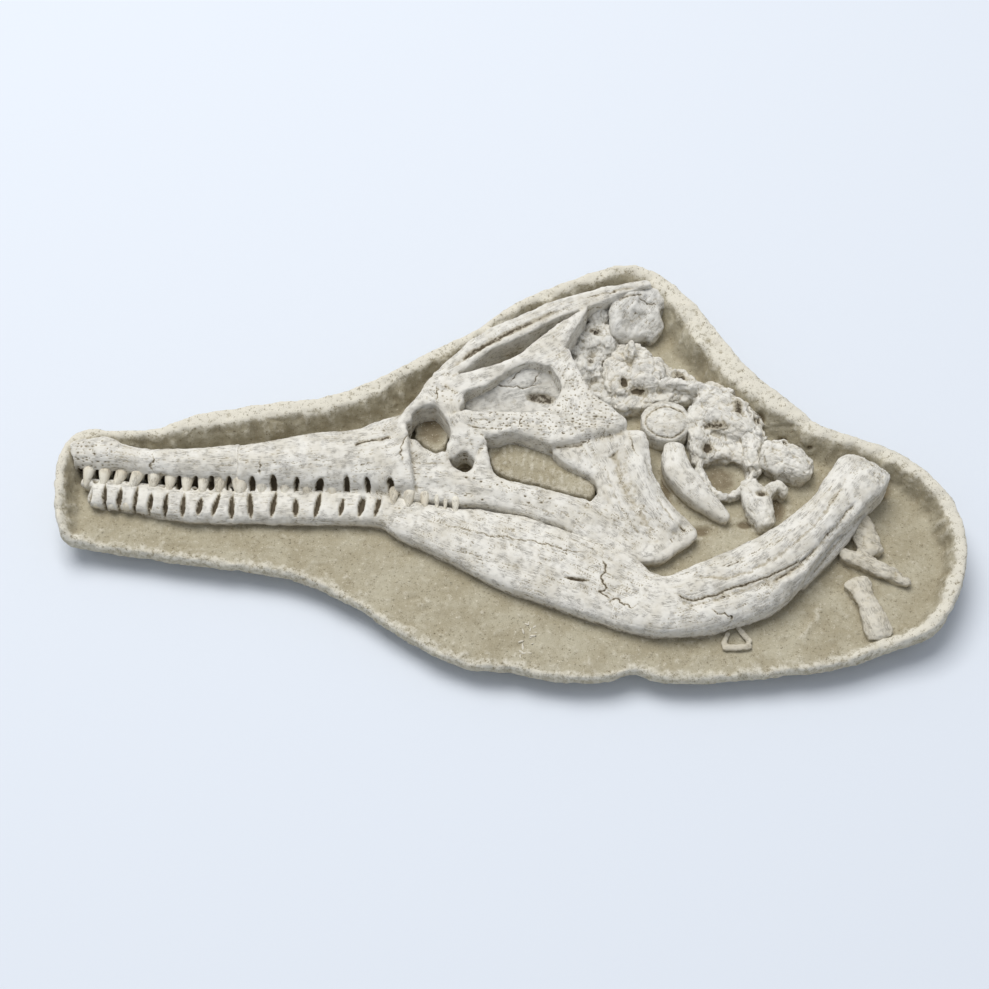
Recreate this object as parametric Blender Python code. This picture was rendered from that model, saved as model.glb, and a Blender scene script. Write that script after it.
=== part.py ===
"""Fossil skull of a long-snouted crocodile relative, still lying in its slab of sandy matrix.

The slab is a boat-shaped block of soft rock with a raised rim, prepared down to a level bed. On the bed lie
the skull, its lower jaw, the first neck vertebrae and a few loose bones, held by the matrix under them.
Lengths are in millimetres and become metres when a mesh is made. +X runs from the snout to the back of the
jaw, +Y away from the viewer, +Z up, and the origin is on the floor under the middle of the slab.

Plan positions are read on a level datum, as a viewer standing at the near side sees them, and each is carried
along the line of sight to its own height.
"""

import math
import random

import bmesh
import bpy
from mathutils import Vector

MM = 0.001

# Driving sizes
BED = 42.0  # height of the prepared bed
DATUM = 70.0  # level on which plan positions are read
LEAN = 0.625  # shift towards the viewer for each unit of height above the datum
GAP = 0.35  # clearance between touching solids
SINK = 4.0  # depth that a bone starts below the bed, before the bed is cut from it
BEVEL = 6.0  # width of the rounded edge of a flat bone
MOUND_INSET = 4.0  # how far the matrix in an opening keeps from the bone round it
MOUND_FOOT = BED - 20.0  # level from which that matrix rises, inside the slab
TOOTH_SIDES = 5
TOOTH_RINGS = ((0.0, 1.0), (0.5, 0.8), (1.0, 0.24))  # share of a tooth's length, share of its width there
TOOTH_BOW = 1.5
TOOTH_FILL = 0.76  # width of a tooth, as a share of its room in the row
FRONT_TEETH_END = -360.0  # where the close teeth of the front give way to those of the middle
MIDDLE_TEETH_END = -155.0
FRONT_PITCH = 21.0
MIDDLE_PITCH = 28.5
REAR_PITCH = 17.0
REAR_TOOTH_SHARE = 0.6  # length of a rear tooth, as a share of the others'
TOOTH_LEVEL = 66.0
CUT_MARGIN = 1.3  # growth of a neighbour before it is cut away, in gaps
SHARP_ANGLE = 40.0  # degrees

# The slab's edge, counter-clockwise from the snout: x, y, height of the rim, width of its flat top
OUTLINE = [
    (-575, -6, 78, 7),
    (-571, -60, 70, 7),
    (-560, -98, 58, 7),
    (-540, -111, 48, 7),
    (-500, -120, 44, 6),
    (-400, -137, 44, 6),
    (-300, -151, 44, 6),
    (-250, -167, 44, 6),
    (-200, -194, 44, 6),
    (-150, -227, 44, 6),
    (-100, -261, 44, 6),
    (-50, -282, 44, 6),
    (0, -287, 44, 6),
    (60, -299, 44, 6),
    (110, -299, 44, 6),
    (150, -289, 44, 6),
    (180, -299, 44, 6),
    (250, -299, 44, 6),
    (310, -292, 45, 7),
    (380, -284, 47, 8),
    (450, -258, 52, 9),
    (513, -228, 60, 11),
    (549, -165, 68, 12),
    (561, -105, 73, 12),
    (553, -55, 75, 12),
    (533, -20, 76, 12),
    (503, 13, 76, 12),
    (458, 38, 76, 12),
    (420, 54, 78, 12),
    (390, 68, 80, 14),
    (360, 100, 82, 22),
    (315, 145, 84, 26),
    (285, 190, 85, 28),
    (262, 229, 85, 26),
    (242, 262, 85, 22),
    (200, 309, 85, 16),
    (155, 326, 85, 10),
    (118, 316, 85, 12),
    (80, 299, 85, 12),
    (10, 264, 85, 10),
    (-50, 214, 85, 9),
    (-110, 179, 85, 10),
    (-180, 134, 84, 16),
    (-240, 109, 84, 20),
    (-300, 101, 84, 18),
    (-350, 92, 84, 18),
    (-400, 82, 83, 18),
    (-450, 61, 82, 9),
    (-500, 57, 82, 8),
    (-535, 59, 82, 8),
    (-558, 50, 81, 7),
    (-571, 25, 80, 7),
]
WALL_RUN = 0.36  # how far the rim's inner wall leans, for each unit of its height
BULGE = 2.5  # how far the slab's side stands proud of the rim's edge
FLARE = 15.0  # how much further it does so at the back, where the side leans out
UNDERCUT = 34.0  # how far the slab's foot stands back from the rim's edge


def smooth(points, steps, closed=False):
    """A smooth run through the points, with steps spans between neighbours."""
    last = len(points) - 1
    run = []
    for i in range(len(points) if closed else last):
        if closed:
            near = [points[(i + k) % len(points)] for k in (-1, 0, 1, 2)]
        else:
            near = [points[min(max(i + k, 0), last)] for k in (-1, 0, 1, 2)]
        for s in range(steps):
            t = s / steps
            weights = (
                -0.5 * t + t * t - 0.5 * t**3,
                1 - 2.5 * t * t + 1.5 * t**3,
                0.5 * t + 2 * t * t - 1.5 * t**3,
                -0.5 * t * t + 0.5 * t**3,
            )
            run.append(tuple(sum(w * v for w, v in zip(weights, values)) for values in zip(*near)))
    if not closed:
        run.append(tuple(points[-1]))
    return run


def at_height(x, y, z):
    """Where a point read on the datum stands at its own height, before the origin is set."""
    return x, y - LEAN * (z - DATUM), z


def inward(run, blend=0):
    """Unit vectors that point into a counter-clockwise outline, one for each of its points, each blended with
    its neighbours as often as asked, so that they don't cross behind a tight corner."""
    found = []
    for i in range(len(run)):
        ahead, behind = run[(i + 1) % len(run)], run[i - 1]
        along = Vector((ahead[0] - behind[0], ahead[1] - behind[1])).normalized()
        found.append(Vector((-along.y, along.x)))
    for _ in range(blend):
        ahead = found[1:] + found[:1]
        behind = found[-1:] + found[:-1]
        found = [(back + here * 2 + on).normalized() for back, here, on in zip(behind, found, ahead)]
    return found


RIM = [(*at_height(x, y, z), band) for x, y, z, band in smooth(OUTLINE, 2, closed=True)]
MIDDLE = (
    (min(p[0] for p in RIM) + max(p[0] for p in RIM)) / 2,
    (min(p[1] for p in RIM) + max(p[1] for p in RIM)) / 2,
)


def place(x, y, z):
    """A point read on the datum, in metres from the origin."""
    x, y, z = at_height(x, y, z)
    return Vector((x - MIDDLE[0], y - MIDDLE[1], z)) * MM


def material(name, colour, roughness):
    made = bpy.data.materials.new(name)
    made.use_nodes = True
    shader = made.node_tree.nodes["Principled BSDF"]
    shader.inputs["Base Color"].default_value = (*colour, 1.0)
    shader.inputs["Roughness"].default_value = roughness
    shader.inputs["Metallic"].default_value = 0.0
    return made


def solid(name, bm):
    """An object outside any collection, made from a closed mesh, its faces flat ones or triangles."""
    bmesh.ops.recalc_face_normals(bm, faces=bm.faces)
    bent = [f for f in bm.faces if max(v.co.z for v in f.verts) - min(v.co.z for v in f.verts) > 1e-7]
    bmesh.ops.triangulate(bm, faces=bent)
    mesh = bpy.data.meshes.new(name)
    bm.to_mesh(mesh)
    bm.free()
    return bpy.data.objects.new(name, mesh)


def loft(name, rings):
    """A closed solid through rings that all have the same number of corners."""
    bm = bmesh.new()
    rows = [[bm.verts.new(p) for p in ring] for ring in rings]
    count = len(rows[0])
    for low, high in zip(rows, rows[1:]):
        for i in range(count):
            j = (i + 1) % count
            bm.faces.new((low[i], low[j], high[j], high[i]))
    bm.faces.new(rows[0])
    bm.faces.new(rows[-1])
    return solid(name, bm)


def bar(stations, steps=2, arc=5, slim=0.9):
    """A long bone that stands on the bed. Each station is x, y and z of its widest level, its half width,
    and how far its rounded top rises above that level."""
    run = smooth(stations, steps)
    rings = []
    for i, (x, y, z, half, rise) in enumerate(run):
        behind = place(*run[max(i - 1, 0)][:3])
        ahead = place(*run[min(i + 1, len(run) - 1)][:3])
        across = Vector((behind.y - ahead.y, ahead.x - behind.x, 0)).normalized()
        middle = place(x, y, z)
        ring = []
        for k in range(arc + 1):
            turn = math.pi * k / arc
            up = Vector((0, 0, rise * math.sin(turn)))
            ring.append(middle + (across * half * math.cos(turn) + up) * MM)
        for side in (-1, 1):
            foot = middle + across * half * slim * side * MM
            ring.append(Vector((foot.x, foot.y, (BED - SINK) * MM)))
        rings.append(ring)
    return loft("bar", rings)


def plate(points, bevel=BEVEL, foot=BED - SINK, steps=1):
    """A flat bone with a rounded edge: its outline, counter-clockwise, as x, y and top z."""
    run = smooth(points, steps, closed=True)
    into = inward(run)
    rings = []
    for inset, drop in ((0, None), (0, bevel), (bevel * 0.3, bevel * 0.3), (bevel, 0)):
        ring = []
        for (x, y, z), way in zip(run, into):
            spot = place(x, y, z)
            spot += Vector((way.x, way.y, 0)) * inset * MM
            spot.z = foot * MM if drop is None else (z - drop) * MM
            ring.append(spot)
        rings.append(ring)
    return loft("plate", rings)


def knob(x, y, z, length, width, rise, turn=0.0):
    """A rounded lump of bone on a foot: its length, width, height above its middle, and turn in degrees."""
    bm = bmesh.new()
    bmesh.ops.create_uvsphere(bm, u_segments=10, v_segments=6, radius=1.0)
    angle = math.radians(turn)
    middle = place(x, y, z)
    depth = middle.z - (BED - SINK) * MM
    for v in bm.verts:
        along, across = v.co.x * length / 2, v.co.y * width / 2
        v.co = middle + Vector(
            (
                (along * math.cos(angle) - across * math.sin(angle)) * MM,
                (along * math.sin(angle) + across * math.cos(angle)) * MM,
                v.co.z * rise * MM,
            )
        )
        if v.co.z < middle.z:
            share = min(1.0, (middle.z - v.co.z) / (0.6 * rise * MM))
            v.co.z = min(v.co.z, middle.z - depth * share)
    return solid("knob", bm)


def tooth(root, tip, width):
    """A slightly bowed, tapered tooth from the middle of its root to its tip, both read on the datum."""
    start, end = place(*root), place(*tip)
    along = (end - start).normalized()
    side = along.cross(Vector((0, 0, 1))).normalized()
    up = side.cross(along)
    bow = up * TOOTH_BOW * MM
    rings = []
    for share, size in TOOTH_RINGS:
        middle = start.lerp(end, share) + bow * math.sin(math.pi * share)
        rings.append(
            [
                middle
                + (side * math.cos(turn) * width / 2 + up * math.sin(turn) * width * 0.4) * size * MM
                for turn in (2 * math.pi * k / TOOTH_SIDES for k in range(TOOTH_SIDES))
            ]
        )
    return loft("tooth", rings)


def level(line, x):
    """The y of a line given by x, y points, at x."""
    for (x0, y0), (x1, y1) in zip(line, line[1:]):
        if x <= x1:
            return y0 + (y1 - y0) * (x - x0) / (x1 - x0)
    return line[-1][1]


def tooth_row(roots, start, stop, reach, lift, draw):
    """Teeth along a line of roots. They stand closer at the front and at the back than in the middle."""
    made = []
    x = start
    while x < stop:
        pitch = FRONT_PITCH if x < FRONT_TEETH_END else MIDDLE_PITCH if x < MIDDLE_TEETH_END else REAR_PITCH
        y = level(roots, x)
        size = draw.uniform(0.92, 1.08)
        length = reach * size * (1.0 if x < MIDDLE_TEETH_END else REAR_TOOTH_SHARE)
        slant = draw.uniform(-2.5, 2.5)
        root = (x, y, TOOTH_LEVEL - lift)
        tip = (x + slant, y + length, TOOTH_LEVEL + lift)
        made.append(tooth(root, tip, TOOTH_FILL * pitch * size))
        x += pitch
    return made


def largest(bm):
    """Keeps only the largest closed surface of a mesh."""
    left = set(bm.verts)
    groups = []
    while left:
        group, edge = set(), [left.pop()]
        while edge:
            vert = edge.pop()
            group.add(vert)
            fresh = [e.other_vert(vert) for e in vert.link_edges if e.other_vert(vert) in left]
            left.difference_update(fresh)
            edge.extend(fresh)
        groups.append(group)

    def span(group):
        return math.prod(max(v.co[k] for v in group) - min(v.co[k] for v in group) for k in range(3))

    groups.sort(key=span)
    spare = [v for group in groups[:-1] for v in group]
    bmesh.ops.delete(bm, geom=spare, context="VERTS")


def grown(made, distance):
    """A copy of a solid whose surface stands out by the distance, to cut a neighbour clear of it."""
    bm = bmesh.new()
    bm.from_mesh(made.data)
    bm.normal_update()
    moves = [(v, v.normal * distance * MM) for v in bm.verts]
    for v, move in moves:
        v.co += move
    return solid("cutter", bm)


def boolean(made, others, operation):
    """Joins the other solids to this one, or cuts them from it, and removes them."""
    scene = bpy.context.scene.collection
    held = bpy.data.collections.new("held")
    scene.children.link(held)
    scene.objects.link(made)
    for other in others:
        held.objects.link(other)
    step = made.modifiers.new("boolean", "BOOLEAN")
    step.operation = operation
    step.operand_type = "COLLECTION"
    step.collection = held
    graph = bpy.context.evaluated_depsgraph_get()
    result = bpy.data.meshes.new_from_object(made.evaluated_get(graph))
    made.modifiers.clear()
    made.data = result
    scene.objects.unlink(made)
    for other in others:
        bpy.data.objects.remove(other)
    bpy.data.collections.remove(held)


def bounds(made):
    """Lowest and highest coordinate of a solid along each axis."""
    return [(min(values), max(values)) for values in zip(*(v.co for v in made.data.vertices))]


def near(a, b):
    """Whether the boxes of two solids touch or nearly do."""
    room = 2 * GAP * MM
    for (low, high), (other_low, other_high) in zip(bounds(a), bounds(b)):
        if low > other_high + room or other_low > high + room:
            return False
    return True


def slab_body(grow=0.0):
    """The slab as nested rings: foot, belly, widest level, rim, the top of the inner wall and its foot."""
    into = inward(RIM, blend=4)
    rings = []
    for row in range(6):
        ring = []
        for (x, y, z, band), way in zip(RIM, into):
            inner = band + grow
            flare = FLARE * max(0.0, -way.y) * min(1.0, max(0.0, (x - 180) / 200))
            spots = (
                (UNDERCUT, 0.0),
                (UNDERCUT * 0.25 - flare, z * 0.32),
                (-BULGE - flare, z * 0.66),
                (0.0, z - 2 + grow),
                (inner, z + grow),
                (inner + WALL_RUN * (z - BED) + 10, BED + grow),
            )
            inset, height = spots[row]
            ring.append(Vector((x - MIDDLE[0] + way.x * inset, y - MIDDLE[1] + way.y * inset, height)) * MM)
        rings.append(ring)
    return loft("slab", rings)


def mound(edge, top):
    """Matrix that stands to the given height inside an opening of the skull. The edge is the opening's own,
    counter-clockwise, as x, y and the height of the bone there."""
    spots = [at_height(*point) for point in edge]
    low, high = [], []
    for (x, y, _), way in zip(spots, inward(spots)):
        x += way.x * MOUND_INSET - MIDDLE[0]
        y += way.y * MOUND_INSET - MIDDLE[1]
        low.append(Vector((x, y, MOUND_FOOT)) * MM)
        high.append(Vector((x, y, top)) * MM)
    return loft("mound", [low, high])


def matrix_slab():
    """The slab, with the matrix that stands higher inside the openings of the skull."""
    cheek_opening = [
        (-30, 36, 90), (-33, 24, 86), (-24, -3, 81), (-5, -16, 79), (30, -25, 78), (65, -37, 77),
        (98, -46, 76), (106, -38, 77), (103, -19, 78), (88, -6, 79), (60, 12, 82), (54, 32, 93),
        (30, 42, 93), (0, 51, 93), (-22, 45, 92),
    ]
    eye_socket = [
        (-126, 66, 94), (-124, 46, 90), (-111, 34, 87), (-96, 24, 86), (-86, 28, 86), (-79, 50, 90),
        (-82, 66, 93), (-90, 84, 96), (-98, 94, 96), (-115, 91, 96),
    ]
    slab = slab_body()
    boolean(slab, [mound(cheek_opening, 56), mound(eye_socket, 62)], "UNION")
    return slab


def snout_tip(draw):
    """Premaxillae and the front of the maxillae, down to the broken step in the snout."""
    body = bar(
        [
            (-560, 14, 60, 12, 18),
            (-553, 15, 60, 20, 25),
            (-535, 13, 62, 23, 28),
            (-515, 13, 63, 25, 30),
            (-495, 8, 63, 19, 28),
            (-460, 0, 63, 19, 28),
            (-400, -2, 64, 23, 28),
            (-347, 0, 65, 28, 30),
        ]
    )
    row = [(-530, 2), (-480, -6), (-430, -14), (-347, -18)]
    return [body, *tooth_row(row, -529, -352, -26, -3, draw)]


def snout(draw):
    """Maxillae and nasals from the broken step to the eye sockets."""
    body = bar(
        [
            (-346, -2, 64, 28, 28),
            (-300, 0, 65, 33, 30),
            (-260, 4, 66, 39, 31),
            (-220, 6, 67, 42, 31),
            (-190, 8, 68, 45, 31),
            (-160, 13, 70, 53, 30),
            (-128, 18, 72, 60, 26),
        ]
    )
    row = [(-347, -20), (-200, -26), (-155, -30), (-130, -32)]
    return [body, *tooth_row(row, -341, -135, -28, -3, draw)]


def frontal(_draw):
    return [
        plate(
            [
                (-146, 66, 96), (-128, 70, 95), (-126, 82, 96), (-115, 92, 97), (-98, 95, 98), (-88, 82, 97),
                (-70, 84, 97), (-62, 98, 98), (-63, 110, 98), (-84, 124, 97), (-96, 136, 95), (-109, 134, 92),
                (-119, 114, 94), (-132, 94, 95), (-142, 80, 95),
            ]
        )
    ]


def postorbital(_draw):
    return [
        plate(
            [
                (-84, 28, 86), (-76, 15, 84), (-60, 25, 84), (-47, 13, 82), (-40, 26, 84), (-30, 40, 88),
                (-40, 52, 92), (-47, 66, 95), (-50, 86, 97), (-60, 88, 97), (-70, 84, 97), (-88, 82, 96),
                (-80, 66, 94), (-78, 50, 90),
            ]
        )
    ]


def squamosal(_draw):
    """Near temporal bar, the pitted back corner and the edge that runs back to the middle."""
    return [
        plate(
            [
                (-40, 52, 93), (-22, 46, 93), (0, 52, 94), (30, 43, 94), (52, 35, 94), (76, 39, 95),
                (100, 48, 96), (135, 58, 97), (147, 72, 97), (126, 93, 100), (104, 115, 102), (91, 142, 104),
                (82, 162, 105), (74, 186, 106), (58, 172, 105), (50, 157, 103), (62, 130, 101), (60, 110, 99),
                (38, 88, 98), (0, 86, 98), (-50, 86, 97), (-48, 64, 95),
            ]
        )
    ]


def parietal(_draw):
    """The middle bar between the two upper openings."""
    return [
        plate(
            [
                (-84, 124, 97), (-63, 108, 98), (-56, 116, 99), (-30, 127, 101), (0, 151, 103),
                (26, 161, 104), (50, 157, 104), (66, 176, 106), (78, 206, 106), (89, 226, 105),
                (101, 251, 103), (86, 242, 103), (60, 224, 104), (30, 197, 105), (10, 176, 105),
                (-15, 162, 104), (-50, 149, 101), (-72, 142, 98),
            ],
            bevel=5.0,
        )
    ]


def far_temporal_bar(_draw):
    return [
        bar(
            [
                (-100, 130, 84, 8, 10),
                (-72, 155, 86, 12, 12),
                (-44, 182, 88, 14, 12),
                (-10, 207, 90, 14, 12),
                (30, 227, 92, 13, 12),
                (65, 245, 92, 12, 12),
                (105, 263, 90, 11, 12),
                (145, 277, 88, 8, 11),
                (186, 288, 84, 4, 9),
            ]
        )
    ]


def jugal(_draw):
    """The cheek bar from the eye socket to the jaw joint."""
    return [
        plate(
            [
                (-140, -42, 74), (-100, -48, 74), (-60, -54, 74), (-20, -56, 74), (20, -70, 74),
                (60, -84, 73),
                (73, -90, 72), (97, -50, 74), (65, -38, 76), (30, -26, 77), (-5, -17, 78), (-23, -4, 80),
                (-30, 25, 84), (-33, 36, 86), (-42, 24, 84), (-48, 10, 82), (-51, 0, 80), (-60, -6, 79),
                (-72, 2, 80), (-79, 12, 82), (-85, 26, 85), (-96, 23, 84), (-111, 32, 86), (-124, 44, 90),
                (-142, 34, 92),
            ]
        )
    ]


def quadrate(_draw):
    """The fan of bone at the back of the cheek, with the ridge that runs down to the jaw joint."""
    fan = plate(
        [
            (60, 12, 80), (88, -6, 78), (103, -18, 77), (107, -36, 76), (98, -48, 74), (73, -91, 72),
            (106, -111, 68), (131, -129, 66), (160, -137, 64), (185, -136, 62), (206, -121, 62),
            (227, -104, 62),
            (228, -88, 64), (198, -52, 70), (184, -22, 76), (177, 0, 80), (172, 44, 86), (166, 57, 86),
            (140, 56, 86), (100, 46, 85), (52, 32, 84),
        ]
    )
    ridge = bar([(156, 44, 80, 13, 12), (157, 0, 76, 14, 12), (172, -50, 68, 16, 13), (205, -96, 60, 16, 12)])
    return [fan, ridge]


def braincase_wall(_draw):
    """The inner wall of the skull, seen low down inside the near upper opening."""
    return [
        plate(
            [
                (-64, 106, 72), (-52, 84, 70), (0, 82, 66), (40, 84, 64), (60, 98, 66), (66, 112, 70),
                (66, 132, 76), (52, 160, 84), (25, 164, 86), (0, 154, 86), (-30, 130, 82), (-60, 118, 76),
            ]
        )
    ]


def occiput(_draw):
    """Knobs and hollows at the back of the skull."""
    return [
        knob(115, 200, 58, 50, 60, 16, 80),
        knob(100, 150, 58, 42, 52, 16, 100),
        knob(116, 238, 62, 34, 34, 22),
        knob(127, 186, 60, 24, 24, 20),
    ]


def far_condyle(_draw):
    return [knob(166, 243, 60, 62, 78, 32, -15)]


def neck_front(_draw):
    """First neck vertebrae, broken into blocks."""
    return [
        bar([(132, 168, 64, 12, 12), (138, 140, 66, 18, 14), (142, 106, 64, 14, 12)]),
        bar([(156, 148, 66, 20, 16), (178, 140, 68, 26, 18), (200, 132, 64, 16, 14)]),
        bar([(158, 190, 66, 5, 16), (157, 176, 66, 7, 16), (156, 160, 64, 9, 14)], steps=1),
    ]


def centrum(_draw):
    """The round end face of a neck vertebra, with its raised lip."""
    turns = [2 * math.pi * k / 14 for k in range(14)]
    disc = plate([(198 + 33 * math.cos(t), 68 + 31 * math.sin(t), 78) for t in turns], bevel=4.0)
    core = plate([(198 + 24 * math.cos(t), 68 + 22 * math.sin(t), 80) for t in turns], bevel=3.0)
    return [disc, core]


def neck_middle(_draw):
    """A crushed vertebra with its arch and the strip of bone above it."""
    return [
        bar([(238, 104, 66, 24, 14), (262, 92, 68, 30, 16), (288, 70, 68, 28, 14), (308, 44, 62, 16, 12)]),
        bar([(240, 90, 64, 14, 12), (236, 46, 62, 12, 12), (238, 8, 58, 9, 10)]),
        bar([(306, 56, 62, 16, 12), (304, 20, 60, 12, 12), (304, -8, 56, 9, 10)]),
        bar(
            [
                (236, 10, 54, 7, 8),
                (244, -24, 52, 5, 8),
                (264, -45, 52, 5, 8),
                (290, -38, 52, 5, 8),
                (306, -8, 54, 7, 8),
            ]
        ),
        bar([(192, 130, 74, 7, 8), (240, 120, 74, 8, 10), (290, 112, 72, 7, 8)], steps=1),
    ]


def neck_side(_draw):
    """A smaller vertebra below the crushed one."""
    return [
        bar([(296, -22, 58, 12, 10), (308, -56, 58, 19, 14), (318, -94, 54, 10, 10)]),
        bar([(308, -56, 58, 9, 10), (332, -30, 58, 8, 10), (346, -44, 54, 6, 8)]),
    ]


def neck_rear(_draw):
    return [bar([(314, 20, 64, 16, 12), (340, 14, 66, 24, 16), (368, -2, 64, 20, 12), (380, -12, 60, 8, 8)])]


def pterygoid_blade(_draw):
    return [
        bar(
            [
                (208, 36, 62, 12, 8),
                (207, 4, 66, 18, 11),
                (226, -30, 64, 17, 11),
                (250, -58, 58, 13, 10),
                (271, -82, 52, 6, 8),
            ]
        )
    ]


def jaw_front(draw):
    """The toothed front of the lower jaw, lying on its side."""
    body = bar(
        [
            (-534, -44, 50, 10, 9),
            (-524, -44, 53, 17, 14),
            (-480, -47, 54, 19, 15),
            (-440, -54, 55, 20, 15),
            (-400, -60, 55, 21, 15),
            (-300, -61, 55, 22, 15),
            (-171, -63, 55, 23, 15),
        ],
        steps=1,
    )
    row = [(-490, -50), (-440, -58), (-340, -64), (-171, -66)]
    return [body, *tooth_row(row, -516, -176, 27, 4, draw)]


def jaw_middle(draw):
    """The deep part of the lower jaw under the cheek."""
    body = bar(
        [
            (-170, -66, 55, 20, 15),
            (-130, -80, 57, 27, 16),
            (-90, -94, 58, 33, 17),
            (-50, -107, 58, 42, 18),
            (0, -125, 58, 51, 18),
            (50, -145, 58, 52, 18),
            (110, -169, 58, 52, 18),
        ]
    )
    row = [(-150, -62), (-60, -70)]
    return [body, *tooth_row(row, -146, -62, 18, 4, draw)]


def jaw_rear(_draw):
    """The back of the lower jaw, which turns up into the long process behind the jaw joint."""
    return [
        bar(
            [
                (112, -170, 58, 52, 18),
                (150, -193, 58, 43, 18),
                (190, -201, 60, 39, 20),
                (240, -188, 62, 45, 22),
                (300, -160, 66, 46, 26),
                (345, -120, 72, 34, 28),
                (368, -92, 76, 28, 27),
                (394, -66, 80, 28, 25),
                (416, -38, 82, 32, 22),
                (436, -14, 82, 35, 20),
                (448, 2, 78, 30, 14),
            ]
        )
    ]


def jaw_far_strip(_draw):
    """The far branch of the lower jaw, which shows as a strip beyond the near one."""
    return [
        bar(
            [
                (348, -172, 54, 10, 10),
                (375, -140, 56, 12, 12),
                (399, -113, 58, 12, 12),
                (420, -86, 60, 11, 12),
                (442, -60, 60, 8, 10),
            ]
        )
    ]


def loose_cross(_draw):
    """A broken vertebra with a blade of bone across its end."""
    return [
        bar([(428, -66, 52, 9, 10), (436, -92, 52, 16, 12), (446, -134, 50, 17, 10)]),
        bar([(404, -126, 50, 8, 8), (446, -148, 50, 11, 10), (490, -173, 48, 6, 7)]),
    ]


def loose_shaft(_draw):
    return [
        bar(
            [
                (420, -164, 48, 20, 9),
                (431, -194, 50, 13, 11),
                (440, -228, 50, 18, 10),
                (446, -250, 47, 17, 7),
            ]
        )
    ]


def loose_hook(_draw):
    """A thin bent splinter of bone."""
    return [
        bar([(270, -230, 45, 4, 4), (288, -254, 45, 5, 4)], steps=1),
        bar([(250, -260, 45, 5, 4), (290, -259, 45, 5, 4)], steps=1),
        bar([(252, -258, 45, 4, 4), (262, -238, 45, 4, 4)], steps=1),
    ]


BONES = [
    parietal,
    squamosal,
    frontal,
    postorbital,
    far_temporal_bar,
    jugal,
    quadrate,
    snout_tip,
    snout,
    braincase_wall,
    far_condyle,
    centrum,
    neck_front,
    occiput,
    pterygoid_blade,
    neck_middle,
    neck_rear,
    neck_side,
    jaw_rear,
    jaw_middle,
    jaw_front,
    jaw_far_strip,
    loose_cross,
    loose_shaft,
    loose_hook,
]


def finish(made, name, finish_material, collection):
    """Keeps one closed surface, shades it smooth and puts it in the collection."""
    bm = bmesh.new()
    bm.from_mesh(made.data)
    bmesh.ops.remove_doubles(bm, verts=bm.verts, dist=1e-6)
    largest(bm)
    bmesh.ops.triangulate(bm, faces=bm.faces)
    mesh = bpy.data.meshes.new(name)
    bm.to_mesh(mesh)
    bm.free()
    mesh.shade_smooth()
    mesh.set_sharp_from_angle(angle=math.radians(SHARP_ANGLE))
    made.data = mesh
    made.name = name
    mesh.materials.clear()
    mesh.materials.append(finish_material)
    collection.objects.link(made)


def build():
    for old in list(bpy.data.objects):
        bpy.data.objects.remove(old)
    collection = bpy.data.collections.new("fossil_skull")
    bpy.context.scene.collection.children.link(collection)
    bone = material("bone", (0.62, 0.60, 0.54), 0.8)
    rock = material("matrix", (0.40, 0.36, 0.27), 0.95)
    draw = random.Random(7)
    done = []
    for make in BONES:
        pieces = make(draw)
        body = pieces[0]
        if len(pieces) > 1:
            boolean(body, pieces[1:], "UNION")
        cutters = [slab_body(GAP)]
        cutters += [grown(other, GAP * CUT_MARGIN) for other in done if near(body, other)]
        boolean(body, cutters, "DIFFERENCE")
        finish(body, make.__name__, bone, collection)
        done.append(body)
    slab = matrix_slab()
    finish(slab, "matrix_slab", rock, collection)


build()
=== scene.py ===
"""Looks of a fossil crocodile skull that still lies in its slab of sandy matrix, as a museum shows it.

Lengths are in millimetres and become metres when a mesh is made. Plan places are read on a level 70 mm
above the floor, as a viewer at the near side sees them. Each is carried along the line of sight to its own
height.
"""

import math
import random

import bpy
import numpy as np
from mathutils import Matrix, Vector, noise


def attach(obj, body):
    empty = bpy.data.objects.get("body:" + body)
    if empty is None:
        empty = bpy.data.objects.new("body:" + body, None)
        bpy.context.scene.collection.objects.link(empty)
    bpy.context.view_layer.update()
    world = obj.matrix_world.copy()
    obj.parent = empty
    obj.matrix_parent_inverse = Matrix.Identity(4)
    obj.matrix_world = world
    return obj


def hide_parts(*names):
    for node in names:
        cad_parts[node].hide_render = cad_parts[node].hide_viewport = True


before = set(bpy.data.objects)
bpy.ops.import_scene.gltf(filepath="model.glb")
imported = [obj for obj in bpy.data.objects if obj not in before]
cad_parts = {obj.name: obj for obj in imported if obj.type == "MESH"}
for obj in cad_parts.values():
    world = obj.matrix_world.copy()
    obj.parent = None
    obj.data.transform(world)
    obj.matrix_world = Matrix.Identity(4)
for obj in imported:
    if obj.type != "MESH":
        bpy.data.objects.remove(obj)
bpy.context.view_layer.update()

# Matrix slab
# One block of soft sandy rock, dug out with the skull. It was prepared down to a level bed with small picks
# and brushes, and keeps a raised, crusty rim. It rests on its own narrower foot.

MM = 0.001
BED = 42.0  # height of the prepared bed
DATUM = 70.0  # level on which plan places are read
LEAN = 0.625  # shift towards the viewer for each unit of height above the datum
MIDDLE = (-7.0, 16.25)  # plan place of the origin, as in the part's source
BURIED = 38.5  # level to which a bone goes down into the matrix
WEST, EAST, SOUTH, NORTH = -600.0, 585.0, -305.0, 335.0  # reach of the height grids
SLAB_GRID = 2.0
SLAB_FACE = 2.85  # size of the slab's small faces
UNDERCUT = 34.0  # how far the slab's foot stands back from the rim's edge
BULGE = 2.0  # how far the walls swell past the rim
FLARE = 15.0  # how far the near wall at the right end stands out
WALL_RUN = 0.36  # how far the rim's inner wall runs out for each unit that it goes down
HIGH = 98.0  # level above which a worn surface is drawn down a little
DRAWN_DOWN = 0.35  # share of the height above it that goes
FIBRE_STRETCH = (0.15, 3.2, 0.8)  # fibres are long along their lie and thin across it
SPARED = 0.96  # share of the small faces underneath a piece that are taken out
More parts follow.
